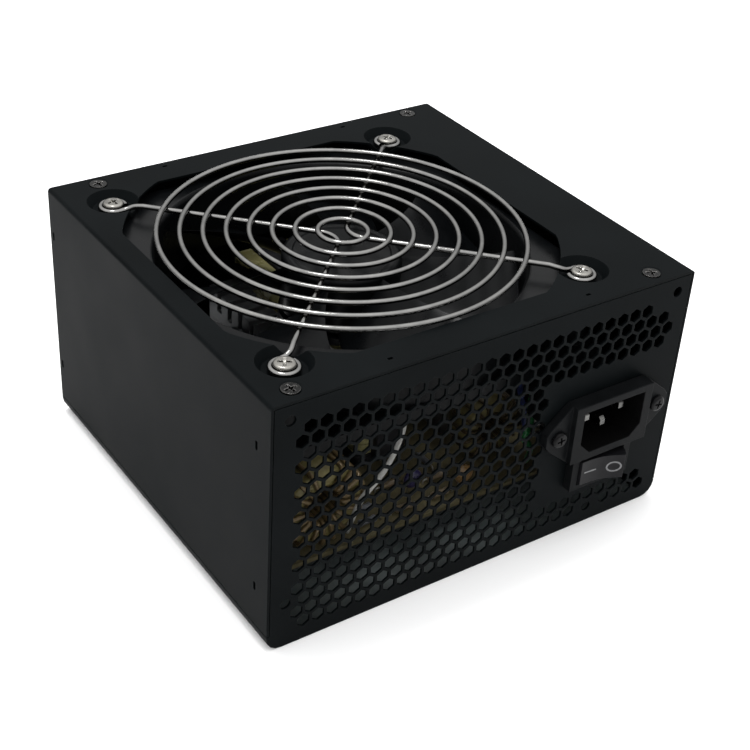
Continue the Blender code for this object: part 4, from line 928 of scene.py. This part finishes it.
def package(node):
    """A moulded power device with its metal back, three legs and clamp screw."""
    low, high = span(node)
    mid = (low + high) / 2
    hand = 1 if mid.x > 0 else -1  # the side away from the heatsink
    z_mould = high.z - 15.5
    outline = round_rectangle(mid.y, (z_mould + high.z) / 2, high.y - low.y, high.z - z_mould, 0.6, 4)
    mould = prism(outline, "X", low.x, high.x)
    eye = rod(1.7, -9, 9, 32, (mid.x, mid.y, high.z - CLAMP_DROP), "X")
    piece(f"{node}_mould", cut(mould, eye), RESIN, replaces=(node,), bevel=0.35, sharp=40)
    legs = []
    for k in (-1, 0, 1):
        y = mid.y + 4.6 * k
        legs.append(box(mid.x - 0.35, mid.x + 0.35, y - 1.0, y + 1.0, z_mould - 3.2, z_mould + 0.5))
        legs.append(box(mid.x - 0.35, mid.x + 0.35, y - 0.55, y + 0.55, low.z, z_mould - 3.2))
    piece(f"{node}_legs", merge(*legs), SOLDER, bevel=0.08)
    x_out = high.x if hand > 0 else low.x
    head = lathe([(0, -0.4), (2.5, -0.4), (2.5, 0.6), (1.9, 1.2), (0, 1.3)], 32)
    head = cut(head, cross_cutter(1.3, 0.6, 0.9, 1.25))
    moved(head, (x_out - 1.35 * hand, mid.y, high.z - CLAMP_DROP), 90 * hand, "Y")
    piece(f"{node}_clamp", head, ZINC, sharp=32)


def resistor(name, x, y, along_x, mat):
    """An axial resistor lying over the board on bent wires."""
    z, r = span("main_board")[1].z + 1.45, RESISTOR_R
    half = [(0, 3.3), (r * 0.5, 3.3), (r, 2.9), (r, 2.2), (r * 0.86, 1.8)]
    profile = [(a, -h) for a, h in half] + half[::-1]
    piece(name, lathe(profile, 24, (x, y, z), "X" if along_x else "Y"), mat, sharp=40)
    wires = []
    for side in (-1, 1):
        path = [(side * 3.0, z), (side * 4.3, z), (side * 4.9, z - 0.5), (side * 5.0, z - 1.4)]
        path = [(x + a, y, h) if along_x else (x, y + a, h) for a, h in path]
        wires.append(tube(smooth_path(path, 4), LEAD_R, 8))
    piece(f"{name}_wires", merge(*wires), SOLDER, sharp=50)


def disc(name, x, y, mat):
    """A ceramic disc capacitor on two wires."""
    z, r = span("main_board")[1].z, DISC_R
    profile = [(0, -1.3), (r * 0.6, -1.25), (r * 0.92, -0.8), (r, 0), (r * 0.92, 0.8), (r * 0.6, 1.25),
               (0, 1.3)]
    piece(name, lathe(profile, 32, (x, y, z + r + 1.4), "Y"), mat, sharp=60)
    wires = [tube([(x + s * 1.8, y, z + 0.05), (x + s * 1.8, y, z + 2.6)], LEAD_R, 8) for s in (-1, 1)]
    piece(f"{name}_wires", merge(*wires), SOLDER, sharp=50)


def small_parts():
    """Resistors and disc capacitors on the free parts of the board."""
    bodies = {"rough": (0.3, 0.42), "grain": (0.3, 0.01), "patch": 1.4}
    brown = surface("resistor_body", (0.11, 0.08, 0.045), (0.16, 0.12, 0.07), **bodies)
    grey_body = surface("resistor_grey_body", (0.06, 0.065, 0.075), (0.1, 0.105, 0.115), **bodies)
    discs = {"rough": (0.22, 0.35), "grain": (0.4, 0.012), "patch": 2.0}
    violet = surface("disc_violet_body", (0.014, 0.012, 0.04), (0.025, 0.022, 0.065), **discs)
    tan = surface("disc_tan_body", (0.13, 0.075, 0.028), (0.19, 0.115, 0.045), **discs)
    spots = ((-24, -45, True), (-10, -45, True), (4, -45, True), (-22, -39, True), (-8, -33, True),
             (8, -37, True), (10, -28, False), (50, -46, True), (48, -22, True), (-52, -18, True),
             (-50, -8, True), (-44, -14, False), (-60, -20, False), (36, 30, False), (36, 22, False),
             (-12, 20, True), (4, 18, True), (40, 54, True), (36, -16, False))
    for k, (x, y, along) in enumerate(spots):
        resistor(f"resistor_{k + 1}", x, y, along, brown if k % 3 else grey_body)
    for k, (x, y) in enumerate(((-2, -38), (14, -44), (-40, -25), (-56, -28), (20, 57), (-54, 20), (37, 4))):
        disc(f"disc_capacitor_{k + 1}", x, y, tan if k % 2 else violet)


def inside():
    refined("main_board", BOARD, 0.12, segments=1)
    refined("insulating_sheet", FILM, 0.06, segments=1)
    for node in ("heatsink_primary", "heatsink_secondary"):
        refined(node, ALUMINIUM, 0.3)
    for make, kind, count in ((package, "power_transistor", 2), (package, "output_rectifier", 2),
                              (can, "bulk_capacitor", 2), (can, "output_capacitor", 4)):
        for k in range(count):
            make(f"{kind}_{k + 1}")
    toroid("output_inductor", CORE_YELLOW, COPPER, 19, 0.8)
    toroid("common_mode_choke", CORE_DARK, DARK_COPPER, 17, 0.65)
    transformer("main_transformer", 0.95)
    transformer("standby_transformer", 0.67)
    refined("x_capacitor", FILM_CAP, 0.7, segments=3)
    refined("bridge_rectifier", RESIN, 0.4)
    fuse()
    small_parts()
    bush()
    wiring()


def fuse():
    """A glass-sleeved fuse between two metal caps."""
    low, high = span("fuse")
    mid, r, half = (low + high) / 2, (high.x - low.x) / 2, (high.y - low.y) / 2
    sleeve = rod(r * 0.86, -half + 2, half - 2, 40, mid, "Y")
    piece("fuse_tube", sleeve, GLASS_SLEEVE, replaces=("fuse",), sharp=40)
    caps = []
    for side in (-1, 1):
        cap = lathe([(0, 0), (r - 0.3, 0), (r, 0.3), (r, 4.7), (r - 0.1, 5.0), (0, 5.0)], 40, axis="Y")
        caps.append(moved(cap, (mid.x, mid.y - side * half, mid.z), 0 if side < 0 else 180))
    piece("fuse_caps", merge(*caps), BRIGHT, sharp=40)


def bush():
    """The rubber bush in the cable hole. Heights are over the cable panel's outside."""
    mid, r = middle("cable_grommet"), 11.0
    back = span("base_chassis")[1].y
    profile = [(r - 3.0, 1.2), (r - 2.2, 2.0), (r + 0.9, 2.0), (r + 1.5, 1.6), (r + 1.6, 0.9), (r + 1.6, 0.3),
               (r - 0.3, 0.3), (r - 0.3, -SHEET - 0.3), (r + 1.2, -SHEET - 0.3), (r + 1.2, -SHEET - 1.3),
               (r + 0.6, -SHEET - 2.0), (r - 2.2, -SHEET - 2.0), (r - 3.0, -SHEET - 1.4)]
    ring = lathe([(a, -h) for a, h in profile], 72, (mid.x, back, mid.z), "Y")
    piece("grommet_bush", ring, RUBBER, replaces=("cable_grommet",), sharp=45)


def wiring():
    for node, colour, mat in (("live", "brown", BROWN), ("neutral", "blue", BLUE), ("earth", "green", GREEN),
                              ("fan", "white", WHITE)):
        refined(f"{node}_lead", mat, sharp=80, rounds=2)


# -------- stage

CAMERA_AZIMUTH, CAMERA_ELEVATION, CAMERA_ROLL = -36.05, 33.70, 3.88
CAMERA_DISTANCE, CAMERA_AIM = 501.7, Vector((7.97, 0.0, -14.76))  # aim is measured from the case's middle
FOCAL_WIDTHS = 1.9902267  # focal length over sensor width
SENSOR, NEAREST, FURTHEST = 36.0, 0.01, 20.0
SKY_HORIZON, SKY_ZENITH = 0.15, 2.35
FLOOR_HALF, FLOOR_DROP = 12, 0.0002  # in metres; the drop keeps the floor clear of the case's underside
LIGHTS = (  # name, place and size in metres, watts
    ("overhead", (-0.06, 0.45, 2.2), (0.4, 0.4), 18.0),
    ("side", (-2.6, 0.3, 0.9), (1.2, 1.0), 3.0),
    ("front", (0.6, -2.6, 1.1), (1.4, 0.9), 2.5),
)
LIGHTS_AIM = Vector((0, 0, 0.04))


def camera():
    """The photo's viewpoint."""
    a, e, roll = (math.radians(v) for v in (CAMERA_AZIMUTH, CAMERA_ELEVATION, CAMERA_ROLL))
    back = Vector((math.sin(a) * math.cos(e), -math.cos(a) * math.cos(e), math.sin(e)))
    right = (-back).cross(Vector((0, 0, 1))).normalized()
    up = right.cross(-back)
    c, s = math.cos(roll), math.sin(roll)
    right, up = right * c + up * s, up * c - right * s
    target = middle("top_cover")
    target.z = span("top_cover")[1].z / 2
    data = bpy.data.cameras.new("camera")
    data.sensor_width, data.lens = SENSOR, SENSOR * FOCAL_WIDTHS
    data.clip_start, data.clip_end = NEAREST, FURTHEST
    obj = new_object("camera", data)
    turn = Matrix((right, up, back)).transposed().to_4x4()
    obj.matrix_world = Matrix.Translation((target + CAMERA_AIM + back * CAMERA_DISTANCE) * MM) @ turn
    bpy.context.scene.camera = obj


def softbox(name, where, size, watts):
    data = bpy.data.lights.new(name, "AREA")
    data.shape, data.size, data.size_y = "RECTANGLE", *size
    data.energy = watts
    obj = new_object(name, data)
    obj.location = where
    obj.rotation_euler = (LIGHTS_AIM - Vector(where)).to_track_quat("-Z", "Y").to_euler()


def sky():
    """A plain white dome, brighter towards its top."""
    world = bpy.data.worlds.new("studio")
    world.use_nodes = True
    bpy.context.scene.world = world
    nodes, links = world.node_tree.nodes, world.node_tree.links
    kinds = ("ShaderNodeTexCoord", "ShaderNodeSeparateXYZ", "ShaderNodeMapRange")
    where, split, level = (nodes.new(kind) for kind in kinds)
    links.new(where.outputs["Generated"], split.inputs[0])
    links.new(split.outputs["Z"], level.inputs["Value"])
    level.inputs["To Min"].default_value, level.inputs["To Max"].default_value = SKY_HORIZON, SKY_ZENITH
    links.new(level.outputs["Result"], nodes["Background"].inputs["Strength"])
    nodes["Background"].inputs["Color"].default_value = (1, 1, 1, 1)


def studio():
    """A plain pale floor under a plain sky with three soft lights."""
    corners = [(sx * FLOOR_HALF, sy * FLOOR_HALF, 0) for sx, sy in ((-1, -1), (1, -1), (1, 1), (-1, 1))]
    bm = new_mesh(corners, [(0, 1, 2, 3)])
    bmesh.ops.subdivide_edges(bm, edges=bm.edges, cuts=4, use_grid_fill=True)
    for face in bm.faces:
        if face.normal.z < 0:
            face.normal_flip()
    floor = new_object("floor", as_mesh("floor", bm))
    floor.location.z = cad_bounds[0][2] - FLOOR_DROP
    floor.data.materials.append(floor_material())
    sky()
    for light in LIGHTS:
        softbox(*light)
    bpy.context.scene.view_settings.view_transform = "Standard"


# -------- assembly

camera()
studio()
case()
screws()
guard()
fan_frame()
rotor()
inlet()
switch()
inside()
